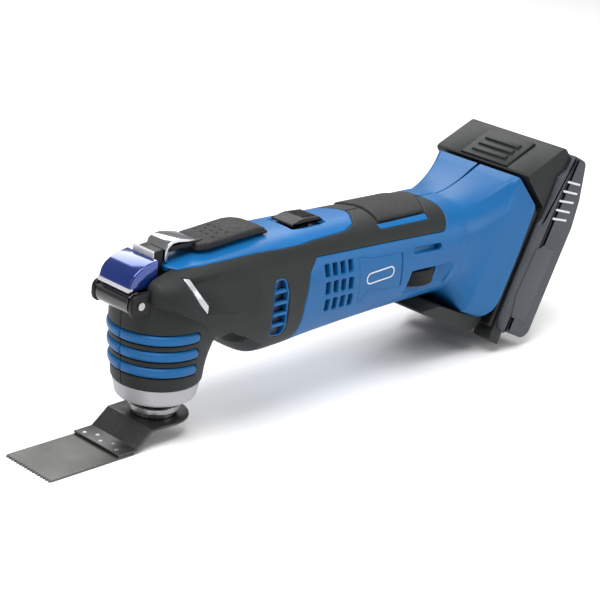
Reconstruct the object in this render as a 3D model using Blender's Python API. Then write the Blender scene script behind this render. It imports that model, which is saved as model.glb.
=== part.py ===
"""Cordless oscillating multi tool with a quick-release lever, slide switch,
speed wheel and slide-on battery pack.

Design frame, millimetres: X runs rearwards along the handle, Z runs up along
the output spindle, Y is across the tool.  X = 0 and Y = 0 lie on the spindle
axis, Z = 0 is the underside of the blade.  Everything is shifted by ORIGIN_X
so that the world origin is the middle of the footprint.
"""
import math
import bmesh
import bpy
import numpy as np
from mathutils import Matrix, Vector

# ------------------------------------------------------------------ dimensions
ORIGIN_X = 105.737         # middle of the overall length, measured from the spindle axis
GAP = 0.30                # clearance kept between touching pieces

# blade
BLADE_W = 34.0
BLADE_TIP = -78.3
PLATE_T = 1.0
PLATE_REAR = -26.5
ARM_FRONT = -36.4
ARM_T = 1.3
ARM_LOW_TOP = 2.6
ARM_TOP = 10.5
ARM_BEND_LOW = -25.2
ARM_BEND_HIGH = -15.1
ARM_R = 17.7
TOOTH_PITCH = 34.0 / 17
TOOTH_DEPTH = 1.5

# spindle group
FLANGE_R = 13.1
FLANGE_Z0, FLANGE_Z1 = 13.2, 16.9
HOLDER_R = 11.4
SPINDLE_R = 6.0
BOLT_R = 2.8
CLAMP_DROP = 3.0
SWING_DEG = 1.6

# nose and head
RING_Z0, RING_Z1 = 20.7, 30.0
RING_R0, RING_R1 = 20.3, 22.0
HEAD_R0, HEAD_R1 = 22.6, 25.2
HEAD_Z0, HEAD_ZT = 30.3, 62.0
HEAD_TOP = 80.0
RIB_Z = (40.6, 49.2, 57.8)
RIB_H = 4.8
RIB_PROUD = 0.4

# body loft: station, half width, top, bottom, exponent
BODY = (
    (-21.0, 20.5, 87.0, 60.0, 3.2),
    (-10.0, 26.8, 90.2, 56.0, 2.9),
    (5.0, 30.0, 92.2, 51.0, 2.7),
    (25.0, 31.5, 93.4, 43.0, 2.6),
    (45.0, 32.0, 94.8, 35.5, 2.6),
    (60.0, 31.5, 95.2, 35.0, 2.6),
    (80.0, 30.6, 95.0, 36.0, 2.6),
    (110.0, 29.8, 94.0, 37.2, 2.6),
    (140.0, 29.4, 93.0, 38.0, 2.6),
    (170.0, 29.6, 92.2, 38.4, 2.6),
    (204.0, 30.4, 91.4, 38.0, 2.6),
)
WALL = 4.2
SKIN = 1.6                # rubber skin thickness

# motor
MOTOR_Z = 66.5
MOTOR_R = 22.0

# battery pack: foot of its outer face, and the direction it slides along
PACK_O = (247.9, 6.1)
PACK_TILT = math.radians(25.38)
PACK_HW = 36.5
PACK_LEN = 104.0
PACK_TRAVEL = 88.0
FOOT_S = -8.4             # underside of the pack's two feet, along the slide

# lever
LEVER_X, LEVER_Z = -26.5, 76.8
BARREL_R = 5.6
LEVER_OPEN = 110.0

COL = dict(
    blue=((0.023, 0.212, 0.552, 1), 0.38, 0.0),
    rubber=((0.045, 0.055, 0.055, 1), 0.72, 0.0),
    black=((0.02, 0.02, 0.022, 1), 0.45, 0.0),
    grey=((0.105, 0.112, 0.125, 1), 0.5, 0.0),
    silver=((0.62, 0.62, 0.64, 1), 0.32, 0.8),
    steel=((0.55, 0.55, 0.56, 1), 0.28, 1.0),
    blade=((0.16, 0.16, 0.155, 1), 0.42, 0.85),
    alu=((0.5, 0.5, 0.51, 1), 0.45, 1.0),
    copper=((0.72, 0.33, 0.16, 1), 0.35, 1.0),
    gun=((0.12, 0.12, 0.13, 1), 0.2, 0.9),
    lens=((0.02, 0.08, 0.35, 1), 0.12, 0.3),
    brass=((0.7, 0.5, 0.2, 1), 0.35, 1.0),
    green=((0.02, 0.15, 0.06, 1), 0.5, 0.0),
    cell=((0.05, 0.25, 0.2, 1), 0.4, 0.0),
    magnet=((0.09, 0.09, 0.1, 1), 0.5, 0.2),
)

for o in list(bpy.data.objects):
    bpy.data.objects.remove(o, do_unlink=True)
SC = bpy.context.scene.collection
MATS = {}


def material(name, key):
    m = bpy.data.materials.new(name)
    m.use_nodes = True
    b = m.node_tree.nodes["Principled BSDF"]
    c, r, k = COL[key]
    b.inputs["Base Color"].default_value = c
    b.inputs["Roughness"].default_value = r
    b.inputs["Metallic"].default_value = k
    m.diffuse_color = c
    return m


def mesh_of(verts, faces):
    me = bpy.data.meshes.new("m")
    me.from_pydata([((v[0] - ORIGIN_X) / 1000.0, v[1] / 1000.0, v[2] / 1000.0) for v in verts], [], faces)
    me.validate()
    bm = bmesh.new()
    bm.from_mesh(me)
    bmesh.ops.remove_doubles(bm, verts=bm.verts, dist=1e-6)
    bmesh.ops.triangulate(bm, faces=bm.faces)
    bmesh.ops.recalc_face_normals(bm, faces=bm.faces)
    bm.to_mesh(me)
    bm.free()
    return me


def tmp(verts, faces):
    """A working solid, linked so that modifiers can be evaluated."""
    o = bpy.data.objects.new("work", mesh_of(verts, faces))
    SC.objects.link(o)
    return o


def boolean(a, b, op, keep_b=False):
    """a (op) b, evaluated into a's mesh."""
    m = a.modifiers.new("b", "BOOLEAN")
    m.operation = op
    m.solver = "EXACT"
    m.object = b
    dg = bpy.context.evaluated_depsgraph_get()
    dg.update()
    me = bpy.data.meshes.new_from_object(a.evaluated_get(dg))
    a.modifiers.remove(m)
    bm = bmesh.new()
    bm.from_mesh(me)
    bmesh.ops.remove_doubles(bm, verts=bm.verts, dist=1e-6)
    bmesh.ops.dissolve_degenerate(bm, edges=bm.edges, dist=1e-6)
    bmesh.ops.triangulate(bm, faces=bm.faces)
    bm.to_mesh(me)
    bm.free()
    a.data = me
    if not keep_b:
        bpy.data.objects.remove(b, do_unlink=True)
    return a


def copy_of(a):
    o = bpy.data.objects.new("work", a.data.copy())
    SC.objects.link(o)
    return o


def tidy(me, flat=0.0):
    bm = bmesh.new()
    bm.from_mesh(me)
    bmesh.ops.remove_doubles(bm, verts=bm.verts, dist=2e-6)
    bmesh.ops.dissolve_degenerate(bm, edges=bm.edges, dist=2e-6)
    if flat:
        bmesh.ops.dissolve_limit(bm, angle_limit=math.radians(flat), verts=bm.verts, edges=bm.edges)
        bmesh.ops.triangulate(bm, faces=bm.faces)
        bmesh.ops.dissolve_degenerate(bm, edges=bm.edges, dist=2e-6)
    bmesh.ops.recalc_face_normals(bm, faces=bm.faces)
    bm.to_mesh(me)
    bm.free()


def finish(o, name, key, smooth=35.0, flat=0.0):
    o.name = name
    o.data.name = name
    o.data.materials.clear()
    o.data.materials.append(material(name, key))
    tidy(o.data, flat)
    if smooth:
        o.data.shade_smooth()
        o.data.set_sharp_from_angle(angle=math.radians(smooth))
    return o


# ------------------------------------------------------------------ shapes
def ring_loft(rings, cap=True):
    """Closed skin through rings with equal point counts."""
    n = len(rings[0])
    v = [p for r in rings for p in r]
    f = []
    for i in range(len(rings) - 1):
        for j in range(n):
            k = (j + 1) % n
            f.append((i * n + j, i * n + k, (i + 1) * n + k, (i + 1) * n + j))
    if cap:
        f.append(tuple(range(n))[::-1])
        f.append(tuple((len(rings) - 1) * n + j for j in range(n)))
    return v, f


def turned(profile, seg, centre, axis, a0=0.0, a1=360.0):
    """Revolve a closed (radius, height) profile about an axis through centre.
    A partial sweep is closed by its two end faces."""
    full = abs(a1 - a0) >= 359.9
    steps = seg if full else seg + 1
    P = []
    on_axis = []
    for (r, h) in profile:
        on_axis.append(r < 1e-6)
    n = len(profile)
    verts, faces, idx = [], [], {}
    for s in range(steps):
        t = math.radians(a0 + (a1 - a0) * s / seg)
        for j, (r, h) in enumerate(profile):
            if on_axis[j]:
                if ("c", j) not in idx:
                    idx[("c", j)] = len(verts)
                    verts.append((0.0, 0.0, h))
                idx[(s, j)] = idx[("c", j)]
            else:
                idx[(s, j)] = len(verts)
                verts.append((r * math.cos(t), r * math.sin(t), h))
    rng = range(seg)
    for s in rng:
        s2 = (s + 1) % steps if full else s + 1
        for j in range(n):
            k = (j + 1) % n
            q = [idx[(s, j)], idx[(s2, j)], idx[(s2, k)], idx[(s, k)]]
            u = []
            for w in q:
                if w not in u:
                    u.append(w)
            if len(u) >= 3:
                faces.append(tuple(u))
    if not full:
        faces.append(tuple(idx[(0, j)] for j in range(n)))
        faces.append(tuple(idx[(seg, j)] for j in reversed(range(n))))
    out = []
    cx, cy, cz = centre
    for (x, y, z) in verts:
        if axis == "Z":
            out.append((cx + x, cy + y, cz + z))
        elif axis == "X":
            out.append((cx + z, cy + x, cz + y))
        else:
            out.append((cx + x, cy + z, cz - y))
    return out, faces


def disc(r, h0, h1, r_in=0.0, ch=0.0):
    """Profile of a disc, or of a ring when r_in is set, with an edge chamfer."""
    if ch > 0:
        outer = [(r - ch, h0), (r, h0 + ch), (r, h1 - ch), (r - ch, h1)]
    else:
        outer = [(r, h0), (r, h1)]
    return [(r_in, h0)] + outer + [(r_in, h1)]


def prism(points, y0, y1):
    """Side-view outline (x, z) extruded across the tool."""
    n = len(points)
    v = [(x, y0, z) for x, z in points] + [(x, y1, z) for x, z in points]
    f = [tuple(range(n)), tuple(range(2 * n - 1, n - 1, -1))]
    for i in range(n):
        k = (i + 1) % n
        f.append((i, i + n, k + n, k))
    return v, f


def slab(points, z0, z1):
    """Plan outline (x, y) extruded upwards."""
    n = len(points)
    v = [(x, y, z0) for x, y in points] + [(x, y, z1) for x, y in points]
    f = [tuple(range(n)), tuple(range(2 * n - 1, n - 1, -1))]
    for i in range(n):
        k = (i + 1) % n
        f.append((i, i + n, k + n, k))
    return v, f


def block(x0, x1, y0, y1, z0, z1):
    return slab([(x0, y0), (x1, y0), (x1, y1), (x0, y1)], z0, z1)


def rounded(points, r, seg=3):
    """Round the corners of a closed outline."""
    out = []
    n = len(points)
    rr = r if isinstance(r, (list, tuple)) else [r] * n
    for i in range(n):
        p, a, b = Vector(points[i]), Vector(points[i - 1]), Vector(points[(i + 1) % n])
        u, w = (a - p), (b - p)
        lu, lw = u.length, w.length
        if rr[i] <= 0:
            out.append(tuple(p))
            continue
        u.normalize()
        w.normalize()
        ang = math.acos(max(-1, min(1, u.dot(w))))
        d = min(rr[i] / math.tan(ang / 2), lu * 0.48, lw * 0.48)
        p0, p1 = p + u * d, p + w * d
        for k in range(seg + 1):
            t = k / seg
            q = (1 - t) ** 2 * p0 + 2 * t * (1 - t) * p + t * t * p1
            out.append(tuple(q))
    return out


def smooth_at(x, col):
    """Cubic through the body stations."""
    X = [s[0] for s in BODY]
    Y = [s[col] for s in BODY]
    m = np.gradient(np.array(Y, float), np.array(X, float))
    i = int(min(max(np.searchsorted(X, x) - 1, 0), len(X) - 2))
    h = X[i + 1] - X[i]
    t = (x - X[i]) / h
    return float((2 * t ** 3 - 3 * t ** 2 + 1) * Y[i] + (t ** 3 - 2 * t ** 2 + t) * h * m[i]
                 + (-2 * t ** 3 + 3 * t ** 2) * Y[i + 1] + (t ** 3 - t ** 2) * h * m[i + 1])


def body_ring(x, off, n=30):
    w, zt, zb, e = (smooth_at(x, k) for k in (1, 2, 3, 4))
    w, h, c = w - off, (zt - zb) / 2 - off, (zt + zb) / 2
    ring = []
    for j in range(n):
        t = 2 * math.pi * (j + 0.5) / n
        cs, sn = math.cos(t), math.sin(t)
        ring.append((x, w * math.copysign(abs(cs) ** (2 / e), cs), c + h * math.copysign(abs(sn) ** (2 / e), sn)))
    return ring


def body_loft(off, x0, x1, n=26):
    inner = off > 3
    stations = (-6, 20, 45, 80, 130, 170) if inner else (-14, -4, 10, 26, 42, 60, 90, 125, 160)
    xs = [x0] + [x for x in stations if x0 + 3 < x < x1 - 3] + [x1]
    rings = [body_ring(x, off, 14 if inner else n) for x in xs]
    return ring_loft(rings)


def head_ring(z, r, rear, n=26):
    """Round front, drawn-out rear."""
    ring = []
    for j in range(n):
        t = 2 * math.pi * (j + 0.5) / n
        c, s = math.cos(t), math.sin(t)
        ring.append(((r + (rear - r) * max(0.0, c) ** 2) * c, r * s, z))
    return ring


def head_loft(off, z0, z1):
    inner = off > 3
    zs = [z for z in ((44.0, HEAD_ZT) if inner else (36.0, 43.0, 50.0, HEAD_ZT)) if z0 + 0.5 < z < z1 - 0.5]
    rings = []
    for z in [z0] + zs + [z1]:
        t = min(1.0, max(0.0, (z - HEAD_Z0) / (HEAD_ZT - HEAD_Z0)))
        r = HEAD_R0 + (HEAD_R1 - HEAD_R0) * t
        rear = 23.0 + 13.5 * min(1.0, max(0.0, (z - 32.0) / 17.0)) ** 1.3 + 3.0 * t
        rings.append(head_ring(z, r - off, rear - off, 18 if inner else 26))
    return ring_loft(rings)


def hull(points):
    bm = bmesh.new()
    vs = [bm.verts.new(p) for p in points]
    res = bmesh.ops.convex_hull(bm, input=vs)
    loose = [v for v in bm.verts if not v.link_faces]
    bmesh.ops.delete(bm, geom=loose, context="VERTS")
    bm.verts.index_update()
    v = [tuple(p.co) for p in bm.verts]
    f = [tuple(q.index for q in face.verts) for face in bm.faces]
    bm.free()
    return v, f


# foot outline in side view with its half widths: the flared end that holds the pack
FOOT = ((236.5, 30.0, 102.6), (251.5, 33.5, 84.5), (232.0, 34.5, 30.0), (211.5, 33.5, 24.4), (166.0, 27.5, 43.0))


def foot_hull(off):
    pts = [p for p in body_ring(201.0, off, 14 if off > 3 else 26)]
    r = 4.0
    na = 6 if off > 3 else 8
    for (x, w, z) in FOOT:
        for sgn in (-1, 1):
            cx, cz = x, z
            # corner balls pulled inwards by their radius and by the offset
            mx, mz = 208.0, 64.0
            d = math.hypot(mx - cx, mz - cz)
            k = (r + off) * 1.15 / d
            cx, cz = cx + (mx - cx) * k, cz + (mz - cz) * k
            for i in range(na):
                for j in ((0,) if off > 3 else (-1, 0, 1)):
                    a, b = i * 2 * math.pi / na, j * math.pi / 4
                    pts.append((cx + r * math.cos(a) * math.cos(b), sgn * (w - off - r) + r * math.sin(b), cz + r * math.sin(a) * math.cos(b)))
    return hull(pts)


def outer(off):
    a = tmp(*body_loft(off, -20.5 + off, 198.0))
    b = tmp(*head_loft(off, HEAD_Z0, HEAD_TOP - off))
    boolean(a, b, "UNION")
    c = tmp(*foot_hull(off))
    boolean(a, c, "UNION")
    return a


def P(s, m):
    """Pack coordinates (along the slide, in from the outer face) to (x, z)."""
    ds, dc = math.sin(PACK_TILT), math.cos(PACK_TILT)
    return (PACK_O[0] + s * ds - m * dc, PACK_O[1] + s * dc + m * ds)


def pack_prism(pts, y0, y1, r=0, seg=2):
    q = [P(s, m) for s, m in pts]
    if r:
        q = rounded(q, r, seg)
    return prism(q, y0, y1)


def half(o, side):
    """Keep one side of the parting plane."""
    y0, y1 = ((-80, -GAP / 2) if side < 0 else (GAP / 2, 80))
    return boolean(o, tmp(*block(-120, 330, y0, y1, -40, 180)), "INTERSECT")


# ------------------------------------------------------------------ housing and rubber skin
def rubber_region(g):
    """Side-view outline of the rubber-covered region, grown by g."""
    return [(-60.0, 20.0), (38.0, 20.0), (60.0 + g, 34.0), (69.0 + g, 62.0), (73.0 + g, 80.0),
            (80.5 + g, 86.5 - g), (176.0 + g, 84.0 - g), (186.0 + g, 88.0 - g), (186.0 + g, 130.0), (-60.0, 130.0)]


def head_r(z):
    t = min(1.0, max(0.0, (z - HEAD_Z0) / (HEAD_ZT - HEAD_Z0)))
    return HEAD_R0 + (HEAD_R1 - HEAD_R0) * t


def cut(o, shape, op="DIFFERENCE"):
    return boolean(o, tmp(*shape), op)


STRIP = ((-4.5, -9.5), (12.0, -17.5), (60.0, -18.6), (100.0, -17.6), (118.0, -14.5), (129.0, -8.0), (132.0, 0.0),
         (129.0, 8.0), (118.0, 14.5), (100.0, 17.6), (60.0, 18.6), (12.0, 17.5), (-4.5, 9.5))
PAD = ((138.0, -15.5), (176.0, -15.5), (180.0, -11.0), (180.0, 11.0), (176.0, 15.5), (138.0, 15.5), (135.5, 12.0), (135.5, -12.0))


def grown(pts, g):
    """Plan outline grown by g about its own middle line."""
    cx = sum(p[0] for p in pts) / len(pts)
    hx = max(abs(p[0] - cx) for p in pts)
    return [(cx + (x - cx) * (1 + g / hx), y * (1 + g / 16.0)) for x, y in pts]


full0 = outer(0.0)
full1 = outer(SKIN + GAP)
full2 = outer(WALL)
full_s = outer(SKIN)

housing = copy_of(full0)
rub = tmp(*prism(rubber_region(GAP / 2), -70, 70))
boolean(rub, full1, "DIFFERENCE", keep_b=True)
boolean(housing, rub, "DIFFERENCE")
boolean(housing, full2, "DIFFERENCE", keep_b=True)

skin = copy_of(full0)
boolean(skin, full_s, "DIFFERENCE", keep_b=True)
strip = copy_of(skin)
pad = copy_of(skin)
cut(skin, prism(rubber_region(-GAP / 2), -70, 70), "INTERSECT")
cut(strip, slab(grown(STRIP, -GAP), 70, 120), "INTERSECT")
cut(pad, slab(grown(PAD, -GAP), 70, 120), "INTERSECT")
cut(skin, slab(STRIP, 70, 120))
cut(skin, slab(PAD, 70, 120))

# the flat ribs of the shell that show through slots in the rubber
for z in RIB_Z:
    r = head_r(z)
    h = RIB_H / 2
    rib = tmp(*turned([(r - 3.6, -h), (r + RIB_PROUD - 0.8, -h), (r + RIB_PROUD, -h + 1.2), (r + RIB_PROUD, h - 1.2),
                       (r + RIB_PROUD - 0.8, h), (r - 3.6, h)], 26, (0, 0, z), "Z", 50, 310))
    boolean(housing, rib, "UNION")
    cut(skin, turned([(r - 4.2, -h - GAP), (r + 4, -h - GAP), (r + 4, h + GAP), (r - 4.2, h + GAP)], 26, (0, 0, z), "Z", 48, 312))

# ears that carry the lever's hinge
for sgn in (-1, 1):
    y0, y1 = sorted((sgn * 12.2, sgn * 16.4))
    ear = tmp(*prism(rounded([(-33.0, 70.0), (-33.0, 83.6), (-14.0, 83.6), (-14.0, 70.0)], [6.3, 6.3, 0, 0], 4), y0, y1))
    boolean(ear, full_s, "DIFFERENCE", keep_b=True)
    boolean(skin, ear, "UNION")

# room for the lever between the cheeks, and a hole for the hinge pin
for o in (housing, skin):
    cut(o, block(-60, -5.2, -11.9, 11.9, 80.6, 130))
    cut(o, turned(disc(BARREL_R + 0.7, -11.9, 11.9), 16, (LEVER_X, 0, LEVER_Z), "Y"))
    cut(o, turned(disc(2.3, -30, 30), 10, (LEVER_X, 0, LEVER_Z), "Y"))
    cut(o, block(-60, LEVER_X, -11.9, 11.9, LEVER_Z, 130))
# bore at the bottom of the head for the gearbox nose
for o in (housing, skin):
    cut(o, turned(disc(19.9, 10, 33), 24, (0, 0, 0), "Z"))
# side vents: an oval grille in the rubber and a slotted grid in the bare shell
for sgn in (-1, 1):
    y0, y1 = sorted((sgn * 22, sgn * 60))
    cut(skin, prism(rounded([(47.0, 49.0), (57.6, 48.0), (57.0, 79.5), (47.6, 79.5)], 4.8, 3), y0, y1))
    for k in range(5):
        z = 52.4 + 6.0 * k
        cut(housing, prism([(49.0, z - 2.1), (55.6, z - 2.1), (55.6, z + 2.1), (49.0, z + 2.1)], y0, y1))
    for i in range(4):
        for j in range(3):
            x, z = 86.6 + 6.3 * i, 59.0 + 9.6 * j
            cut(housing, prism([(x - 2.0, z - 3.2), (x + 2.0, z - 3.2), (x + 2.0, z + 3.2), (x - 2.0, z + 3.2)], y0, y1))
# window for the speed wheel, on one side only
DIAL_X, DIAL_Z, DIAL_R = 163.5, 57.8, 15.5
DIAL_Y = -15.2
cut(housing, block(152.2, 174.8, -60, -18, 53.0, 62.6))
cut(housing, block(149.0, 178.0, -26.8, -10, 53.0, 62.6))
# slot for the slide switch through the crown
SW_X = 93.0
cut(housing, block(SW_X - 12.0, SW_X + 12.0, -6.5, 6.5, 80, 130))
cut(strip, block(SW_X - 12.0, SW_X + 12.0, -6.5, 6.5, 80, 130))
cut(housing, block(SW_X - 12.0, 114.0, -4.2, 4.2, 86.0, 90.9))
# pocket in the foot for the pack's tongue, open upwards and rearwards
cut(housing, pack_prism([(-16.0, -10.0), (150.0, -10.0), (150.0, 25.9), (-16.0, 25.9)], -60, 60))
cut(housing, pack_prism([(25.6, 20.0), (150.0, 20.0), (150.0, 28.7), (25.6, 28.7)], -17.4, 17.4))
cut(housing, pack_prism([(25.6, 28.6), (150.0, 28.6), (150.0, 40.4), (25.6, 40.4)], -22.4, 22.4))
cut(housing, pack_prism([(70.2, 20.0), (83.9, 51.2), (84.6, 60.0), (150.0, 60.0), (150.0, 20.0)], -60, 60))

# channel for the pack's latch, open upwards so that the pack slides off past it
cut(housing, pack_prism([(57.6, 38.0), (150.0, 38.0), (150.0, 45.6), (57.6, 45.6)], -7.0, 7.0))

# screw bosses along the parting plane: through on the left half, blind on the right
SCREWS = ((33.5, 52.0), (113.0, 50.0), (133.0, 83.0), (186.0, 82.0), (186.0, 51.0))
for (x, z) in SCREWS:
    boss = tmp(*turned(disc(4.2, -40, 40), 8, (x, 0, z), "Y"))
    boolean(boss, full1, "INTERSECT", keep_b=True)
    boolean(housing, boss, "UNION")
    cut(housing, turned(disc(1.9, -16.0, 60), 8, (x, 0, z), "Y"))
    for o in (housing, skin):
        cut(o, turned(disc(3.6, 17.0, 60), 8, (x, 0, z), "Y"))

for side, nm in ((-1, "right"), (1, "left")):
    finish(half(copy_of(housing), side), "housing_" + nm, "blue", flat=1.2)
    finish(half(copy_of(skin), side), "rubber_skin_" + nm, "rubber", flat=1.2)
finish(strip, "top_strip", "blue", flat=1.2)
finish(pad, "grip_pad", "rubber", flat=1.2)
for o in (housing, skin, full0, full1, full2, full_s):
    bpy.data.objects.remove(o, do_unlink=True)


def solid(name, key, shape, smooth=35.0):
    return finish(tmp(*shape), name, key, smooth)


# bumper under the foot
bump = tmp(*prism(rounded([(163.0, 42.0), (169.0, 34.2), (213.5, 14.6), (226.0, 20.0), (226.0, 30.0), (180.0, 44.0)], [2, 3, 4, 2, 0, 0], 3), -27.0, 27.0))
f0 = tmp(*foot_hull(-GAP))
boolean(bump, f0, "DIFFERENCE")
cut(bump, pack_prism([(-20.0, -10.0), (150.0, -10.0), (150.0, 25.9), (-20.0, 25.9)], -60, 60))
cut(bump, block(100, 260, -60, 60, 36, 80))
finish(bump, "foot_bumper", "rubber")

# ------------------------------------------------------------------ blade
def arm_z(x, top):
    if x <= ARM_BEND_LOW:
        z = ARM_LOW_TOP
    elif x >= ARM_BEND_HIGH:
        z = ARM_TOP
    else:
        t = (x - ARM_BEND_LOW) / (ARM_BEND_HIGH - ARM_BEND_LOW)
        z = ARM_LOW_TOP + (ARM_TOP - ARM_LOW_TOP) * t
    return z if top else z - ARM_T


teeth = []
n_t = 17
for k in range(n_t):
    y = -BLADE_W / 2 + TOOTH_PITCH * k
    teeth += [(BLADE_TIP + TOOTH_DEPTH, y), (BLADE_TIP, y + TOOTH_PITCH * 0.5)]
teeth.append((BLADE_TIP + TOOTH_DEPTH, BLADE_W / 2))
plate = [(PLATE_REAR, BLADE_W / 2), (PLATE_REAR, -BLADE_W / 2)]
solid("blade_plate", "blade", slab(teeth + plate, 0.0, PLATE_T), 20)

half_n = 12
outline = [(ARM_FRONT, -17.2), (ARM_BEND_LOW, -17.2), (ARM_BEND_HIGH, -17.2), (0.0, -ARM_R)]
arc = [(ARM_R * math.sin(math.pi * k / half_n), -ARM_R * math.cos(math.pi * k / half_n)) for k in range(1, half_n)]
hole = 24
arm = []
pts = outline + arc + [(0.0, ARM_R), (ARM_BEND_HIGH, 17.2), (ARM_BEND_LOW, 17.2), (ARM_FRONT, 17.2)]
n = len(pts)
top = [(x, y, arm_z(x, True)) for x, y in pts]
bot = [(x, y, arm_z(x, False)) for x, y in pts]
fa = []
strips = [(0, 1, n - 2, n - 1), (1, 2, n - 3, n - 2), (2, 3, n - 4, n - 3)]
for (a, b, c, d) in strips:
    fa.append((a, b, c, d))
    fa.append((d + n, c + n, b + n, a + n))
fa.append(tuple(range(3, n - 3)))
fa.append(tuple(i + n for i in range(n - 4, 2, -1)))
for i in range(n):
    k = (i + 1) % n
    fa.append((i + n, k + n, k, i))
arm = tmp(top + bot, fa)
cut(arm, turned(disc(5.3, 0, 20), 12, (0, 0, 0), "Z"))
finish(arm, "blade_arm", "blade", 30)

# ------------------------------------------------------------------ spindle group
solid("output_flange", "steel", turned([(BOLT_R + 0.4, 10.8), (HOLDER_R, 10.8), (HOLDER_R, FLANGE_Z0), (FLANGE_R - 0.5, FLANGE_Z0),
      (FLANGE_R, FLANGE_Z0 + 0.5), (FLANGE_R, FLANGE_Z1 - 0.7), (FLANGE_R - 0.7, FLANGE_Z1), (8.6, FLANGE_Z1), (8.6, 20.0), (BOLT_R + 0.4, 20.0)], 28, (0, 0, 0), "Z"))
solid("output_spindle", "steel", turned([(BOLT_R + 0.4, 20.4), (7.6, 20.4), (7.6, 31.0), (SPINDLE_R, 31.0), (SPINDLE_R, 70.6), (4.9, 70.6), (4.9, 74.2), (BOLT_R + 0.4, 74.2)], 16, (0, 0, 0), "Z"))
solid("clamp_bolt", "steel", turned([(0, 5.4), (7.4, 5.4), (8.4, 6.4), (8.4, 8.0), (7.6, 8.8), (BOLT_R, 8.8), (BOLT_R, 79.4), (0, 79.4)], 16, (0, 0, 0), "Z"))
solid("clamp_spring_collar", "steel", turned(disc(5.2, 77.6, 79.0, BOLT_R + 0.25), 14, (0, 0, 0), "Z"))
solid("spindle_bearing_lower", "steel", turned(disc(14.0, 33.6, 41.6, SPINDLE_R + 0.3, 0.6), 20, (0, 0, 0), "Z"))
solid("spindle_bearing_upper", "steel", turned(disc(11.0, 54.0, 59.6, SPINDLE_R + 0.3, 0.6), 20, (0, 0, 0), "Z"))
solid("nose_ring", "silver", turned([(15.0, RING_Z0), (RING_R0 - 1.2, RING_Z0), (RING_R0, RING_Z0 + 1.2), (RING_R1, RING_Z1 - 0.3), (RING_R1, RING_Z1), (15.0, RING_Z1)], 32, (0, 0, 0), "Z"))
solid("gearbox_housing", "alu", turned([(14.3, 30.3), (17.6, 30.3), (17.6, 60.0), (11.3, 60.0), (11.3, 53.4), (14.3, 53.4)], 24, (0, 0, 0), "Z"))

# swing arm: a fork clamped on the spindle that straddles the motor's eccentric
ECC = 0.8
FORK_Z = MOTOR_Z
fork = tmp(*slab([(-9.5, -7), (-7, -9.5), (4, -9.5), (12, -12.4), (29.0, -12.4), (29.0, -8.8), (14.0, -8.8), (14.0, 8.8), (29.0, 8.8), (29.0, 12.4), (12, 12.4), (4, 9.5), (-7, 9.5), (-9.5, 7)], FORK_Z - 5.5, FORK_Z + 3.5))
cut(fork, turned(disc(SPINDLE_R + 0.3, 40, 90), 16, (0, 0, 0), "Z"))
finish(fork, "swing_arm", "steel")

# ------------------------------------------------------------------ motor
M = (0.0, 0.0, MOTOR_Z)
solid("motor_can", "steel", turned([(MOTOR_R - 1.6, 46.0), (MOTOR_R - 1.6, 44.0), (9.0, 44.0), (9.0, 42.0), (MOTOR_R, 42.0), (MOTOR_R, 98.0), (MOTOR_R - 1.6, 98.0)], 26, M, "X"))
solid("motor_end_cap", "black", turned([(9.0, 98.5), (MOTOR_R, 98.5), (MOTOR_R, 104.0), (13.0, 108.0), (9.0, 108.0)], 26, M, "X"))
for nm, a in (("upper", 90), ("lower", 270)):
    solid("magnet_" + nm, "magnet", turned([(15.2, 56.0), (19.9, 56.0), (19.9, 92.0), (15.2, 92.0)], 10, M, "X", a - 62, a + 62))
solid("motor_bearing_front", "steel", turned(disc(8.6, 36.6, 43.6, 3.4, 0.4), 18, M, "X"))
solid("motor_bearing_rear", "steel", turned(disc(8.6, 103.0, 108.0, 3.4, 0.4), 18, M, "X"))
shaft = tmp(*turned([(0, 29.0), (3.1, 29.0), (3.1, 110.0), (0, 110.0)], 12, M, "X"))
cut(shaft, turned(disc(4.6, 22.0, 30.6, 0.0), 14, (0, ECC, MOTOR_Z), "X"), "UNION")
finish(shaft, "motor_shaft", "steel")
solid("armature_core", "magnet", turned(disc(14.2, 58.0, 90.0, 3.4), 20, M, "X"))
solid("armature_winding", "copper", turned([(3.4, 90.4), (12.5, 90.4), (12.5, 94.0), (3.4, 94.0)], 18, M, "X"))
solid("commutator", "copper", turned(disc(7.0, 94.4, 102.0, 3.4), 18, M, "X"))
solid("eccentric_bearing", "steel", turned(disc(6.6, 22.6, 28.4, 4.9), 18, (0, ECC, MOTOR_Z), "X"))
# fan: hub and eight straight blades in one moulding
fan = tmp(*turned(disc(7.0, 46.4, 55.0, 3.4), 16, M, "X"))
for k in range(8):
    a = 2 * math.pi * k / 8
    ca, sa = math.cos(a), math.sin(a)
    q = []
    for (r, w) in ((5.5, -0.7), (18.6, -0.7), (18.6, 0.7), (5.5, 0.7)):
        q.append((r * ca - w * sa, r * sa + w * ca))
    v = [(47.0, y, MOTOR_Z + z) for y, z in q] + [(54.4, y, MOTOR_Z + z) for y, z in q]
    boolean(fan, tmp(v, [(0, 1, 2, 3), (7, 6, 5, 4), (0, 4, 5, 1), (1, 5, 6, 2), (2, 6, 7, 3), (3, 7, 4, 0)]), "UNION")
finish(fan, "cooling_fan", "black")
for nm, s in (("right", -1), ("left", 1)):
    y0, y1 = sorted((s * 7.4, s * 15.5))
    solid("brush_" + nm, "magnet", block(94.8, 98.2, y0, y1, MOTOR_Z - 3, MOTOR_Z + 3), 20)

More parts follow.
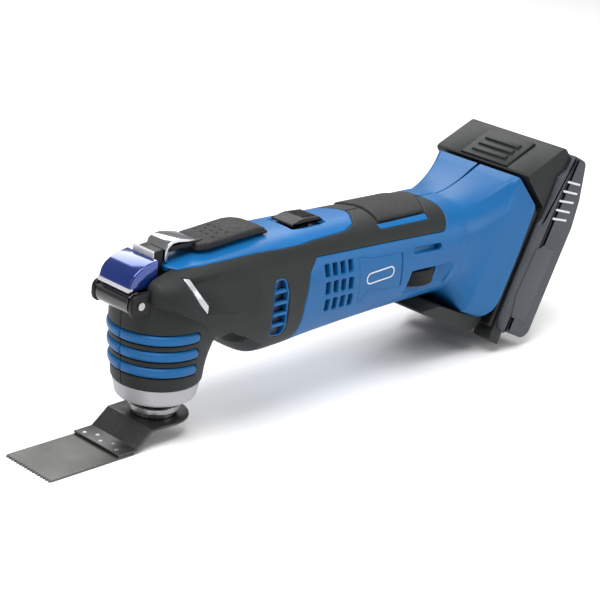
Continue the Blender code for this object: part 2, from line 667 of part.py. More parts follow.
# ------------------------------------------------------------------ controls
solid("slide_switch", "black", block(SW_X - 14.0, SW_X + 9.0, -8.5, 8.5, 95.2, 99.4), 20)
sw = bpy.data.objects["slide_switch"]
cut(sw, prism([(SW_X - 16, 90), (SW_X - 16, 96.2), (SW_X - 14.0, 96.4), (SW_X - 6, 99.4), (SW_X - 4, 99.4), (SW_X + 8, 97.6), (SW_X + 9, 90)], -9, 9), "INTERSECT")
cut(sw, block(SW_X - 5.0, SW_X + 3.0, -4.0, 4.0, 89.0, 96.5), "UNION")
cut(sw, block(SW_X - 4.0, 112.6, -3.5, 3.5, 89.0, 90.3), "UNION")
finish(sw, "slide_switch", "black", 25)
solid("switch_module", "black", block(110.0, 124.0, -7.5, 7.5, 76.0, 87.2), 20)
solid("speed_wheel", "black", turned([(2.2, -4.2), (DIAL_R - 0.6, -4.2), (DIAL_R, -3.6), (DIAL_R, 3.6), (DIAL_R - 0.6, 4.2), (2.2, 4.2)], 36, (DIAL_X, DIAL_Y, DIAL_Z), "Z"))
pot = tmp(*block(DIAL_X - 6, DIAL_X + 6, DIAL_Y - 3.5, DIAL_Y + 9, 49.6, 53.2))
cut(pot, turned(disc(1.9, 51.0, 61.5), 10, (DIAL_X, DIAL_Y, 0), "Z"), "UNION")
finish(pot, "speed_potentiometer", "green", 25)
solid("control_board", "green", block(116.0, 146.0, -17.0, 17.0, 64.0, 65.6), 20)
solid("heat_sink", "alu", block(120.0, 138.0, -9.0, 9.0, 65.9, 74.0), 20)

# ------------------------------------------------------------------ battery pack
def pack_solid(name, key, pts, y0, y1, r=0, seg=2, smooth=30):
    return finish(tmp(*pack_prism(pts, y0, y1, r, seg)), name, key, smooth)


rear = tmp(*pack_prism([(0, -4.0), (4, -8.0), (70, -8.0), (86, -4.6), (98, 0), (PACK_LEN, 4.0), (PACK_LEN, 15.0), (0, 15.0)], -PACK_HW, PACK_HW, [3, 3, 3, 3, 3, 3, 3, 3], 2))
cut(rear, pack_prism([(3.0, -1.0), (7.0, -5.0), (68.0, -5.0), (84.0, -1.6), (92.0, 2.6), (PACK_LEN - 4.0, 4.6), (PACK_LEN - 4.0, 30.0), (3.0, 30.0)], -PACK_HW + 2.6, PACK_HW - 2.6))
for sgn in (-1, 1):
    y0, y1 = sorted((sgn * 22.0, sgn * 34.0))
    cut(rear, pack_prism([(2.6, 3.0), (2.6, 15.0), (FOOT_S, 15.0), (FOOT_S, 3.5), (-4.0, 1.6)], y0, y1, [0, 0, 0, 3, 2], 3), "UNION")
finish(rear, "battery_case_rear", "grey", 30)
front = tmp(*pack_prism([(-2.0, 15.3), (PACK_LEN, 15.3), (109.0, 27.0), (84.2, 50.8), (73.0, 25.3), (-2.0, 25.3)], -34.0, 34.0, [2, 2, 3, 2, 0, 2], 2))
cut(front, pack_prism([(26.6, 24.0), (77.0, 24.0), (77.0, 34.0), (26.6, 34.0)], -17.0, 17.0), "UNION")
cut(front, pack_prism([(26.0, 29.0), (78.0, 29.0), (78.0, 39.8), (26.0, 39.8)], -21.8, 21.8), "UNION")
for sgn in (-1, 1):
    y0, y1 = sorted((sgn * 22.0, sgn * 34.0))
    cut(front, pack_prism([(4.0, 15.3), (4.0, 24.0), (-1.0, 25.3), (FOOT_S + 1.0, 25.3), (FOOT_S, 15.3)], y0, y1, [0, 0, 0, 4, 0], 3), "UNION")
cut(front, pack_prism([(1.5, 10.0), (PACK_LEN - 6.0, 10.0), (PACK_LEN - 6.0, 23.0), (1.5, 23.0)], -31.0, 31.0))
# sockets for the tool's two contact blades
for y in (-9.0, 9.0):
    cut(front, pack_prism([(20.0, 34.0), (40.0, 34.0), (40.0, 38.8), (20.0, 38.8)], y - 0.9, y + 0.9))
# button well in the sloping top, and the latch's guide below it
BTN_T = Vector((0.928, 0.373)).normalized()
BTN_N = Vector((-BTN_T.y, BTN_T.x))
BTN_C = Vector(P(84.2, 50.8)) + BTN_T * 15.5
BTN_L, BTN_W, BTN_UP, BTN_DOWN = 26.0, 33.4, 1.9, 5.0


def button_prism(dl, lo, hi, hw):
    q = [BTN_C + BTN_T * u + BTN_N * w for u, w in ((-BTN_L / 2 - dl, lo), (BTN_L / 2 + dl, lo), (BTN_L / 2 + dl, hi), (-BTN_L / 2 - dl, hi))]
    return prism([tuple(p) for p in q], -hw, hw)


cut(front, button_prism(0.4, -9.4, 12.0, BTN_W / 2 + 0.4))
cut(front, pack_prism([(59.4, 24.6), (66.6, 24.6), (66.6, 50.0), (59.4, 50.0)], -6.4, 6.4))
finish(front, "battery_case_front", "black", 30)
btn = tmp(*button_prism(0.0, -BTN_DOWN, BTN_UP * 0.35, BTN_W / 2))
for k in range(3):
    u = -7.0 + 6.0 * k
    q = [BTN_C + BTN_T * a + BTN_N * b for a, b in ((u - 2.6, -1.0), (u + 2.6, -1.0), (u + 1.4, BTN_UP), (u - 2.0, BTN_UP))]
    cut(btn, prism([tuple(p) for p in q], -12.0, 12.0), "UNION")
finish(btn, "battery_button", "black", 25)
pack_solid("battery_latch", "black", [(60.0, 29.4), (66.0, 29.4), (66.0, 42.0), (64.6, 44.4), (60.0, 41.4)], -6.0, 6.0)
for k in range(5):
    x, z = P(12.6 + 18.6 * k, 12.8)
    solid("battery_cell_%d" % (k + 1), "cell", turned([(0, -30.6), (8.0, -30.6), (9.0, -29.8), (9.0, 30.0), (3.0, 30.6), (0, 30.6)], 14, (x, 0, z), "Y"))
tb = tmp(*pack_prism([(15.5, 33.8), (24.2, 33.8), (24.2, 46.0), (15.5, 46.0)], -15.0, 15.0))
for y in (-9.0, 9.0):
    cut(tb, pack_prism([(22.0, 34.6), (38.6, 34.6), (38.6, 38.2), (22.0, 38.2)], y - 0.5, y + 0.5), "UNION")
finish(tb, "terminal_block", "brass", 25)

# ------------------------------------------------------------------ lever
LX, LZ = LEVER_X, LEVER_Z
solid("lever_barrel", "gun", turned([(2.3, -11.5), (BARREL_R - 0.5, -11.5), (BARREL_R, -11.0), (BARREL_R, 11.0), (BARREL_R - 0.5, 11.5), (2.3, 11.5)], 18, (LX, 0, LZ), "Y"))
solid("hinge_pin", "steel", turned([(0, -16.0), (2.0, -16.0), (2.0, 16.0), (0, 16.0)], 12, (LX, 0, LZ), "Y"))
solid("lever_hood", "lens", prism([(-31.0, 84.6), (-29.6, 88.9), (-27.6, 91.3), (-24.5, 93.3), (-19.0, 95.3), (-13.3, 96.2), (-13.3, 82.8), (-29.6, 82.8)], -11.4, 11.4), 30)
solid("lever_neck", "black", prism([(-13.0, 82.8), (-13.0, 98.2), (-6.3, 98.8), (-6.3, 82.8)], -6.4, 6.4), 20)
solid("lever_arch", "steel", prism([(-5.9, 92.4), (-5.7, 97.5), (-4.4, 100.6), (-1.5, 102.3), (2.5, 102.5), (8.0, 101.6), (13.0, 100.8),
      (13.0, 99.8), (8.0, 100.0), (2.5, 100.8), (-1.0, 100.6), (-3.7, 98.6), (-4.1, 92.4)], -7.2, 7.2), 40)
solid("lever_bar", "black", prism([(-3.4, 96.6), (-3.2, 98.4), (-1.6, 99.4), (19.7, 99.4), (19.7, 96.6)], -6.5, 6.5), 30)
pad_o = [(13.4, -9.0), (19.0, -11.6), (48.0, -11.6), (60.0, -9.0), (62.5, -6.0), (62.5, 6.0), (60.0, 9.0), (48.0, 11.6), (19.0, 11.6), (13.4, 9.0)]
paddle = tmp(*prism([(20.0, 96.2), (20.0, 99.8), (13.4, 99.8), (13.4, 101.1), (30.0, 101.9), (47.0, 104.0), (61.5, 98.6), (61.5, 96.2)], -12, 12))
cut(paddle, slab(pad_o, 90, 110), "INTERSECT")
finish(paddle, "lever_paddle", "rubber", 30)

for k, (x, z) in enumerate(SCREWS):
    solid("housing_screw_%d" % (k + 1), "steel", turned([(0, -14.0), (1.6, -14.0), (1.6, 17.4), (3.2, 17.4), (3.2, 19.6), (0, 19.6)], 10, (x, 0, z), "Y"))

# ------------------------------------------------------------------ joints
# An empty on each joint's axis carries the pieces that move with it.
JOINTS = {
    "spindle": ((0.0, 0.0, 46.0), ["output_spindle", "output_flange", "swing_arm", "blade_arm", "blade_plate"]),
    "clamp": ((0.0, 0.0, 60.0), ["clamp_bolt", "clamp_spring_collar"]),
    "rotor": ((70.0, 0.0, MOTOR_Z), ["motor_shaft", "armature_core", "armature_winding", "commutator", "cooling_fan", "eccentric_bearing"]),
    "lever": ((LEVER_X, 0.0, LEVER_Z), ["lever_barrel", "lever_hood", "lever_neck", "lever_arch", "lever_bar", "lever_paddle"]),
    "switch": ((SW_X, 0.0, 95.2), ["slide_switch"]),
    "dial": ((DIAL_X, DIAL_Y, DIAL_Z), ["speed_wheel"]),
    "battery": ((P(0, 15)[0], 0.0, P(0, 15)[1]), ["battery_case_rear", "battery_case_front"] + ["battery_cell_%d" % k for k in range(1, 6)]),
    "battery_button": ((BTN_C.x, 0.0, BTN_C.y), ["battery_button"]),
    "battery_latch": ((P(63, 36)[0], 0.0, P(63, 36)[1]), ["battery_latch"]),
}
empties = {}
for body, ((x, y, z), nodes) in JOINTS.items():
    e = bpy.data.objects.new("joint_" + body, None)
    e.location = ((x - ORIGIN_X) / 1000.0, y / 1000.0, z / 1000.0)
    e.empty_display_size = 0.01
    SC.objects.link(e)
    empties[body] = e
    for nm in nodes:
        o = bpy.data.objects[nm]
        o.data.transform(Matrix.Translation(-e.location))
        o.parent = e
for child in ("battery_button", "battery_latch"):
    e = empties[child]
    e.location = e.location - empties["battery"].location
    e.parent = empties["battery"]
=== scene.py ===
"""Looks of the oscillating multi tool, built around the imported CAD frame.

Design frame used below, millimetres: X rearwards, Z up along the spindle, Y
across, spindle axis at X = Y = 0 and the blade's underside at Z = 0.
"""
import math

import bmesh
import bpy
import numpy as np
from mathutils import Matrix, Vector


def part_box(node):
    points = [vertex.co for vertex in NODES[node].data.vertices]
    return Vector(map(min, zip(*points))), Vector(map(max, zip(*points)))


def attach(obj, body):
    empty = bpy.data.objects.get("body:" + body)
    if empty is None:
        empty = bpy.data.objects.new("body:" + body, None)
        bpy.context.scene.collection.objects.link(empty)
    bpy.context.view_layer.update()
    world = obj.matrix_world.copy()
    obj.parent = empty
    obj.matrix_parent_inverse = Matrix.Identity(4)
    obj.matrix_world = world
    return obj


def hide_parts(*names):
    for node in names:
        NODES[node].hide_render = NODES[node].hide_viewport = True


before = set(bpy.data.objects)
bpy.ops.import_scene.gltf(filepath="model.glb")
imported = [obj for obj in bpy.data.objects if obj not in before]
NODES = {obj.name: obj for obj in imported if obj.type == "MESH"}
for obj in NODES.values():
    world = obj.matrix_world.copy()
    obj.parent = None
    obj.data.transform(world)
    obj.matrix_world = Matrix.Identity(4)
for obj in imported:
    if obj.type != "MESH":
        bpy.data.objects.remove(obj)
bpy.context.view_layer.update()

OX = 105.737
SC = bpy.context.scene.collection
EPS = 1e-9


def W(p):
    p = np.asarray(p, float)
    q = np.empty_like(p)
    q[..., 0] = (p[..., 0] - OX) / 1000.0
    q[..., 1] = p[..., 1] / 1000.0
    q[..., 2] = p[..., 2] / 1000.0
    return q


# ====================================================================== materials
def new_mat(name):
    m = bpy.data.materials.new(name)
    m.use_nodes = True
    nt = m.node_tree
    b = nt.nodes["Principled BSDF"]
    return m, nt, b


def plastic(name, col, rough, metal=0.0, grain=900.0, grain_depth=0.05, var=0.10, blotch=60.0, rough_var=0.08,
            wear=0.0, wear_col=None, coat=0.0, spec=0.5, bump_mm=0.03, stretch=None, speck=0.0, sheen=0.0, aniso=0.0):
    """Moulded or machined surface: large soft colour variation, fine grain in
    roughness and bump, lighter worn edges, optional pale specks."""
    m, nt, b = new_mat(name)
    L = nt.links.new
    tc = nt.nodes.new("ShaderNodeTexCoord")
    src = tc.outputs["Object"]
    mp = nt.nodes.new("ShaderNodeMapping")
    if stretch:
        mp.inputs["Scale"].default_value = stretch
    L(src, mp.inputs["Vector"])
    big = nt.nodes.new("ShaderNodeTexNoise")
    big.inputs["Scale"].default_value = blotch
    big.inputs["Detail"].default_value = 3.0
    L(src, big.inputs["Vector"])
    fine = nt.nodes.new("ShaderNodeTexNoise")
    fine.inputs["Scale"].default_value = grain
    fine.inputs["Detail"].default_value = 4.0
    fine.inputs["Roughness"].default_value = 0.6
    L(mp.outputs["Vector"], fine.inputs["Vector"])
    ramp = nt.nodes.new("ShaderNodeValToRGB")
    c0 = [max(0.0, c * (1 - var)) for c in col]
    c1 = [min(1.0, c * (1 + var)) for c in col]
    ramp.color_ramp.elements[0].position = 0.30
    ramp.color_ramp.elements[0].color = (*c0, 1)
    ramp.color_ramp.elements[1].position = 0.70
    ramp.color_ramp.elements[1].color = (*c1, 1)
    L(big.outputs["Fac"], ramp.inputs["Fac"])
    colour = ramp.outputs["Color"]
    mix = nt.nodes.new("ShaderNodeMix")
    mix.data_type = "RGBA"
    mix.blend_type = "MULTIPLY"
    mix.inputs[0].default_value = 0.35
    L(colour, mix.inputs[6])
    fr = nt.nodes.new("ShaderNodeValToRGB")
    fr.color_ramp.elements[0].position = 0.25
    fr.color_ramp.elements[0].color = (0.62, 0.62, 0.62, 1)
    fr.color_ramp.elements[1].position = 0.75
    fr.color_ramp.elements[1].color = (1, 1, 1, 1)
    L(fine.outputs["Fac"], fr.inputs["Fac"])
    L(fr.outputs["Color"], mix.inputs[7])
    colour = mix.outputs[2]
    if speck > 0:
        sp = nt.nodes.new("ShaderNodeTexNoise")
        sp.inputs["Scale"].default_value = 2600.0
        sp.inputs["Detail"].default_value = 1.0
        L(src, sp.inputs["Vector"])
        sr = nt.nodes.new("ShaderNodeValToRGB")
        sr.color_ramp.elements[0].position = 0.60
        sr.color_ramp.elements[0].color = (0, 0, 0, 1)
        sr.color_ramp.elements[1].position = 0.74
        sr.color_ramp.elements[1].color = (1, 1, 1, 1)
        L(sp.outputs["Fac"], sr.inputs["Fac"])
        mx = nt.nodes.new("ShaderNodeMix")
        mx.data_type = "RGBA"
        mul = nt.nodes.new("ShaderNodeMath")
        mul.operation = "MULTIPLY"
        mul.inputs[1].default_value = speck
        L(sr.outputs["Color"], mul.inputs[0])
        L(mul.outputs[0], mx.inputs[0])
        L(colour, mx.inputs[6])
        mx.inputs[7].default_value = (min(1, col[0] * 3 + 0.08), min(1, col[1] * 3 + 0.08), min(1, col[2] * 3 + 0.09), 1)
        colour = mx.outputs[2]
    if wear > 0:
        geo = nt.nodes.new("ShaderNodeNewGeometry")
        wr = nt.nodes.new("ShaderNodeValToRGB")
        wr.color_ramp.elements[0].position = 0.52
        wr.color_ramp.elements[0].color = (0, 0, 0, 1)
        wr.color_ramp.elements[1].position = 0.62
        wr.color_ramp.elements[1].color = (1, 1, 1, 1)
        L(geo.outputs["Pointiness"], wr.inputs["Fac"])
        mw = nt.nodes.new("ShaderNodeMath")
        mw.operation = "MULTIPLY"
        L(wr.outputs["Color"], mw.inputs[0])
        L(big.outputs["Fac"], mw.inputs[1])
        m2 = nt.nodes.new("ShaderNodeMath")
        m2.operation = "MULTIPLY"
        m2.inputs[1].default_value = wear
        L(mw.outputs[0], m2.inputs[0])
        mx2 = nt.nodes.new("ShaderNodeMix")
        mx2.data_type = "RGBA"
        L(m2.outputs[0], mx2.inputs[0])
        L(colour, mx2.inputs[6])
        wc = wear_col or [min(1, c * 1.8 + 0.03) for c in col]
        mx2.inputs[7].default_value = (*wc, 1)
        colour = mx2.outputs[2]
    L(colour, b.inputs["Base Color"])
    rr = nt.nodes.new("ShaderNodeMapRange")
    rr.inputs["From Min"].default_value = 0.3
    rr.inputs["From Max"].default_value = 0.7
    rr.inputs["To Min"].default_value = max(0.03, rough - rough_var)
    rr.inputs["To Max"].default_value = min(1.0, rough + rough_var)
    L(fine.outputs["Fac"], rr.inputs["Value"])
    L(rr.outputs["Result"], b.inputs["Roughness"])
    bp = nt.nodes.new("ShaderNodeBump")
    bp.inputs["Strength"].default_value = grain_depth
    bp.inputs["Distance"].default_value = bump_mm / 1000.0
    L(fine.outputs["Fac"], bp.inputs["Height"])
    L(bp.outputs["Normal"], b.inputs["Normal"])
    b.inputs["Metallic"].default_value = metal
    b.inputs["Specular IOR Level"].default_value = spec
    b.inputs["Coat Weight"].default_value = coat
    if coat:
        b.inputs["Coat Roughness"].default_value = 0.15
    if sheen:
        b.inputs["Sheen Weight"].default_value = sheen
        b.inputs["Sheen Roughness"].default_value = 0.5
    if aniso:
        b.inputs["Anisotropic"].default_value = aniso
    return m


MAT = {
    "blue": plastic("mat_blue_shell", (0.0060, 0.102, 0.285), 0.40, grain=1500, grain_depth=0.25, var=0.05, bump_mm=0.02, wear=0.10,
                    wear_col=(0.04, 0.20, 0.46), spec=0.23),
    "blue_strip": plastic("mat_blue_strip", (0.0070, 0.118, 0.330), 0.34, grain=1500, grain_depth=0.18, var=0.05, bump_mm=0.02, wear=0.10,
                          wear_col=(0.05, 0.22, 0.50), spec=0.23),
    "rubber": plastic("mat_rubber", (0.0125, 0.0150, 0.0148), 0.58, grain=1900, grain_depth=0.35, var=0.12, bump_mm=0.03, rough_var=0.10,
                      wear=0.22, wear_col=(0.05, 0.054, 0.054), spec=0.23, sheen=0.05),
    "rubber_rough": plastic("mat_rubber_stipple", (0.020, 0.0205, 0.0195), 0.62, grain=900, grain_depth=1.0, var=0.18, bump_mm=0.28, rough_var=0.14,
                            wear=0.3, wear_col=(0.10, 0.10, 0.095), spec=0.27),
    "black": plastic("mat_black_plastic", (0.0045, 0.0045, 0.0052), 0.42, grain=1400, grain_depth=0.3, var=0.15, bump_mm=0.025, wear=0.18,
                     wear_col=(0.03, 0.03, 0.033), spec=0.23),
    "pack_block": plastic("mat_pack_block", (0.0110, 0.0122, 0.0125), 0.46, grain=1300, grain_depth=0.45, var=0.10, bump_mm=0.035, wear=0.2,
                          wear_col=(0.06, 0.063, 0.066), spec=0.20),
    "pack_grey": plastic("mat_pack_grey", (0.052, 0.057, 0.067), 0.50, grain=1500, grain_depth=0.5, var=0.08, bump_mm=0.035, wear=0.2,
                         wear_col=(0.14, 0.15, 0.165), speck=0.22, spec=0.18),
    "label": plastic("mat_label_panel", (0.058, 0.063, 0.073), 0.40, grain=1200, grain_depth=0.15, var=0.05, bump_mm=0.02, speck=0.2, spec=0.18),
    "white": plastic("mat_white_print", (0.62, 0.63, 0.65), 0.45, grain=900, grain_depth=0.15, var=0.03, bump_mm=0.015),
    "silver": plastic("mat_silver_collar", (0.40, 0.40, 0.42), 0.40, metal=0.25, grain=1600, grain_depth=0.25, var=0.05, bump_mm=0.02, spec=0.23,
                      wear=0.1, wear_col=(0.55, 0.55, 0.57)),
    "inlay": plastic("mat_silver_inlay", (0.50, 0.51, 0.53), 0.30, metal=0.35, grain=1600, grain_depth=0.1, var=0.03, bump_mm=0.01),
    "steel": plastic("mat_machined_steel", (0.30, 0.295, 0.29), 0.30, metal=1.0, grain=700, grain_depth=0.4, var=0.10, bump_mm=0.02,
                     stretch=(1.0, 1.0, 14.0), rough_var=0.10, wear=0.3, wear_col=(0.75, 0.75, 0.76)),
    "chrome": plastic("mat_bright_steel", (0.52, 0.53, 0.55), 0.14, metal=1.0, grain=600, grain_depth=0.12, var=0.05, bump_mm=0.01,
                      stretch=(14.0, 1.0, 1.0), rough_var=0.05),
    "gun": plastic("mat_gunmetal", (0.09, 0.09, 0.094), 0.20, metal=0.9, grain=600, grain_depth=0.25, var=0.15, bump_mm=0.02,
                   stretch=(1.0, 10.0, 1.0), rough_var=0.08, wear=0.4, wear_col=(0.5, 0.5, 0.5)),
    "blade": plastic("mat_blade_steel", (0.068, 0.067, 0.063), 0.40, metal=0.75, grain=500, grain_depth=0.35, var=0.12, bump_mm=0.02,
                     stretch=(1.0, 9.0, 1.0), rough_var=0.10, wear=0.35, wear_col=(0.25, 0.25, 0.24)),
    "arm": plastic("mat_arm_steel", (0.042, 0.042, 0.042), 0.36, metal=0.6, grain=800, grain_depth=0.4, var=0.14, bump_mm=0.03,
                   rough_var=0.10, wear=0.35, wear_col=(0.16, 0.16, 0.16)),
    "hood": plastic("mat_blue_hood", (0.002, 0.030, 0.22), 0.10, metal=0.6, grain=700, grain_depth=0.06, var=0.12, bump_mm=0.01,
                    coat=1.0, rough_var=0.04, blotch=120),
    "alu": plastic("mat_cast_alu", (0.42, 0.42, 0.43), 0.45, metal=1.0, grain=1200, grain_depth=0.5, var=0.10, bump_mm=0.03),
    "copper": plastic("mat_copper", (0.62, 0.27, 0.12), 0.35, metal=1.0, grain=1200, grain_depth=0.5, var=0.20, bump_mm=0.06, stretch=(1, 8, 8)),
    "brass": plastic("mat_contact_brass", (0.62, 0.45, 0.17), 0.32, metal=1.0, grain=900, grain_depth=0.2, var=0.10),
    "board": plastic("mat_circuit_board", (0.012, 0.085, 0.035), 0.45, grain=400, grain_depth=0.4, var=0.25, blotch=300),
    "cell": plastic("mat_cell_sleeve", (0.03, 0.20, 0.17), 0.28, grain=900, grain_depth=0.1, var=0.08),
    "magnet": plastic("mat_ferrite", (0.045, 0.045, 0.05), 0.55, metal=0.2, grain=1400, grain_depth=0.7, var=0.15, bump_mm=0.05),
    # deep navy: painted shade, standing in for the shaded inside of the vent slots and of the oval vent
    "deep": plastic("mat_painted_shade_blue", (0.003, 0.010, 0.055), 0.5, grain=900, grain_depth=0.2, var=0.10),
}


# ====================================================================== meshes
def add_object(name, P, F, mat, body, replaces=(), sharp=38.0, mats=None, fmat=None):
    me = bpy.data.meshes.new(name)
    me.from_pydata([tuple(p) for p in W(P)], [], [tuple(int(i) for i in f) for f in F])
    me.validate()
    o = bpy.data.objects.new(name, me)
    SC.objects.link(o)
    for k in (mats or [mat]):
        me.materials.append(MAT[k])
    if fmat is not None and len(fmat) == len(me.polygons):
        me.polygons.foreach_set("material_index", np.asarray(fmat, np.int32))
    me.shade_smooth()
    me.set_sharp_from_angle(angle=math.radians(sharp))
    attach(o, body)
    if replaces:
        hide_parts(*replaces)
    return o


def split(uv, tri, val, L, fun=None):
    """Cut triangles along val = L. fun(uv) refines where the cut falls."""
    s = val - L
    s = np.where(np.abs(s) < 1e-4, 0.0, s)
    sg = np.sign(s)[tri]
    mixed = (sg.max(1) > 0) & (sg.min(1) < 0)
    if not mixed.any():
        return uv, tri, val
    keep, mt, ms = tri[~mixed], tri[mixed], sg[mixed]
    has0 = (ms == 0).any(1)
    # rotate so that the lone vertex (or the zero vertex) comes first
    lone = np.zeros(len(mt), int)
    tot = ms.sum(1)
    for k in range(3):
        sel = (~has0) & (ms[:, k] == -np.sign(tot))
        lone[sel] = k
        sel = has0 & (ms[:, k] == 0)
        lone[sel] = k
    r = (lone[:, None] + np.arange(3)[None]) % 3
    mt = np.take_along_axis(mt, r, 1)
    A, B, Cc = mt[:, 0], mt[:, 1], mt[:, 2]
    e1 = np.where(has0[:, None], np.sort(np.c_[B, Cc], 1), np.sort(np.c_[A, B], 1))
    e2 = np.where(has0[:, None], np.sort(np.c_[B, Cc], 1), np.sort(np.c_[A, Cc], 1))
    allE = np.r_[e1, e2]
    n = len(uv)
    key = allE[:, 0].astype(np.int64) * (n + 1) + allE[:, 1]
    uk, first, inv = np.unique(key, return_index=True, return_inverse=True)
    ue = allE[first]
    a, b = ue[:, 0], ue[:, 1]
    va, vb = s[a], s[b]
    t = va / (va - vb)
    if fun is not None:
        lo, hi, flo = np.zeros_like(t), np.ones_like(t), va
        for _ in range(2):
            q = uv[a] * (1 - t)[:, None] + uv[b] * t[:, None]
            f = fun(q) - L
            same = np.sign(f) == np.sign(flo)
            lo = np.where(same, t, lo)
            flo = np.where(same, f, flo)
            fhi = np.where(same, vb, f)
            hi = np.where(same, hi, t)
            vb = fhi
            den = flo - fhi
            t = np.where(np.abs(den) > 1e-12, lo + (hi - lo) * flo / np.where(np.abs(den) > 1e-12, den, 1), t)
            t = np.clip(t, 0.02, 0.98)
    q = uv[a] * (1 - t)[:, None] + uv[b] * t[:, None]
    p1 = n + inv[:len(mt)]
    p2 = n + inv[len(mt):]
    z = has0
    out = [keep]
    if z.any():
        out.append(np.c_[A[z], B[z], p1[z]])
        out.append(np.c_[A[z], p1[z], Cc[z]])
    m = ~z
    if m.any():
        out.append(np.c_[A[m], p1[m], p2[m]])
        out.append(np.c_[p1[m], B[m], Cc[m]])
        out.append(np.c_[p1[m], Cc[m], p2[m]])
    return np.r_[uv, q], np.concatenate(out), np.r_[val, np.full(len(q), L)]


def normals_of(S, uv, h=0.02):
    du = S(uv + [h, 0]) - S(uv - [h, 0])
    dv = S(uv + [0, h]) - S(uv - [0, h])
    n = np.cross(du, dv)
    ln = np.linalg.norm(n, axis=1)
    n /= (ln + 1e-12)[:, None]
    return n, ln


def vertex_normals(P, T):
    n = np.zeros_like(P)
    fn = np.cross(P[T[:, 1]] - P[T[:, 0]], P[T[:, 2]] - P[T[:, 0]])
    for k in range(3):
        np.add.at(n, T[:, k], fn)
    return n / (np.linalg.norm(n, axis=1) + 1e-12)[:, None]


def patch(S, us, vs, region=None, roll=0.6, thick=2.0, feats=(), offset=0.0, side=1, flip=False, back=True, up=False):
    """A solid shell over part of surface S(u, v).
    region(P) > 0 is kept, in millimetres from its edge, and its edge is rolled over.
    feats: (field(P), levels, displacement(d, P)) applied along the normal.
    Returns vertices and triangles."""
    U, V = np.meshgrid(us, vs, indexing="ij")
    uv = np.c_[U.ravel(), V.ravel()]
    nu, nv = len(us), len(vs)
    i, j = np.meshgrid(np.arange(nu - 1), np.arange(nv - 1), indexing="ij")
    a = (i * nv + j).ravel()
    b = a + nv
    tri = np.r_[np.c_[a, b, b + 1], np.c_[a, b + 1, a + 1]]

    def scaled(F):
        """Field measured along the surface instead of in projection."""
        def g(q):
            P = S(q)
            d = F(P)
            n, _ = normals_of(S, q)
            hh = 0.05
            gr = np.stack([(F(P + [hh, 0, 0]) - d) / hh, (F(P + [0, hh, 0]) - d) / hh, (F(P + [0, 0, hh]) - d) / hh], 1)
            gt = gr - (gr * n).sum(1)[:, None] * n
            k = np.linalg.norm(gt, axis=1)
            return d / np.clip(k, 0.25, 1.2)
        return g

    if region is not None:
        fun = scaled(region)
        val = fun(uv)
        near = val[tri].max(1) > -1e-4
        tri = tri[near]
        uv, tri, val = split(uv, tri, val, 0.0, fun)
        tri = tri[(val[tri] >= -1e-6).all(1)]
        for L in (roll * 0.12, roll * 0.4, roll):
            val = fun(uv)
            uv, tri, val = split(uv, tri, val, L, fun)
        used, inv = np.unique(tri, return_inverse=True)
        uv, tri = uv[used], inv.reshape(-1, 3)
    for (F, levels, disp) in feats:
        fun = scaled(F)
        for L in levels:
            val = fun(uv)
            uv, tri, val = split(uv, tri, val, L, fun)
    P = S(uv)
    N, ln = normals_of(S, uv)
    bad = ln < 1e-7
    if bad.any():
        N[bad] = vertex_normals(P, tri)[bad]
    D = np.full(len(P), float(offset))
    for (F, levels, disp) in feats:
        D += disp(scaled(F)(uv), P)
    if region is not None:
        d = scaled(region)(uv)
        x = np.clip(1 - d / roll, 0, 1)
        D -= roll * 0.9 * (1 - np.sqrt(np.clip(1 - x * x, 0, 1)))
    # outwards is away from the middle plane
    sgn = 1.0 if (N[:, 2].sum() if up else (N[:, 1] * P[:, 1]).sum()) > 0 else -1.0
    NN = N * sgn
    Q = P + NN * D[:, None]
    fn = np.cross(P[tri[:, 1]] - P[tri[:, 0]], P[tri[:, 2]] - P[tri[:, 0]])
    if (fn * NN[tri].mean(1)).sum() < 0:
        tri = tri[:, ::-1]
    # boundary
    E = np.r_[tri[:, [0, 1]], tri[:, [1, 2]], tri[:, [2, 0]]]
    key = np.sort(E, 1)
    kk = key[:, 0].astype(np.int64) * (len(uv) + 1) + key[:, 1]
    uk, first, cnt = np.unique(kk, return_index=True, return_counts=True)
    BE = E[first[cnt == 1]]
    n = len(Q)
    if back:
        # the inner face follows the outer one at the shell's thickness
        R = P + NN * (np.minimum(D, 0) * 0.8 - thick)[:, None]
        V3 = np.r_[Q, R]
        T3 = [tri, tri[:, ::-1] + n, np.c_[BE[:, 1], BE[:, 0], BE[:, 0] + n], np.c_[BE[:, 1], BE[:, 0] + n, BE[:, 1] + n]]
        T = np.concatenate(T3)
    else:
        bv = np.unique(BE)
        mp = {v: n + k for k, v in enumerate(bv)}
        R = Q[bv] - NN[bv] * thick
        V3 = np.r_[Q, R]
        m0 = np.array([mp[v] for v in BE[:, 0]], int) if len(BE) else np.zeros(0, int)
        m1 = np.array([mp[v] for v in BE[:, 1]], int) if len(BE) else np.zeros(0, int)
        T3 = [tri, np.c_[BE[:, 1], BE[:, 0], m0], np.c_[BE[:, 1], m0, m1]]
        T = np.concatenate(T3)
    if side < 0:
        return V3, T
    V3 = V3.copy()
    V3[:, 1] = -V3[:, 1]
    return V3, T[:, ::-1]


def join(parts):
    V, F, n, M = [], [], 0, []
    for k, p in enumerate(parts):
        v, t = p[0], p[1]
        V.append(np.asarray(v, float))
        F += [tuple(int(i) + n for i in f) for f in t]
        M += [p[2] if len(p) > 2 else 0] * len(t)
        n += len(v)
    return np.concatenate(V), F, M


# ---------------------------------------------------------------- 2D fields
def smoothmin(a, b, k):
    h = np.clip(0.5 + 0.5 * (b - a) / k, 0, 1)
    return b * (1 - h) + a * h - k * h * (1 - h)


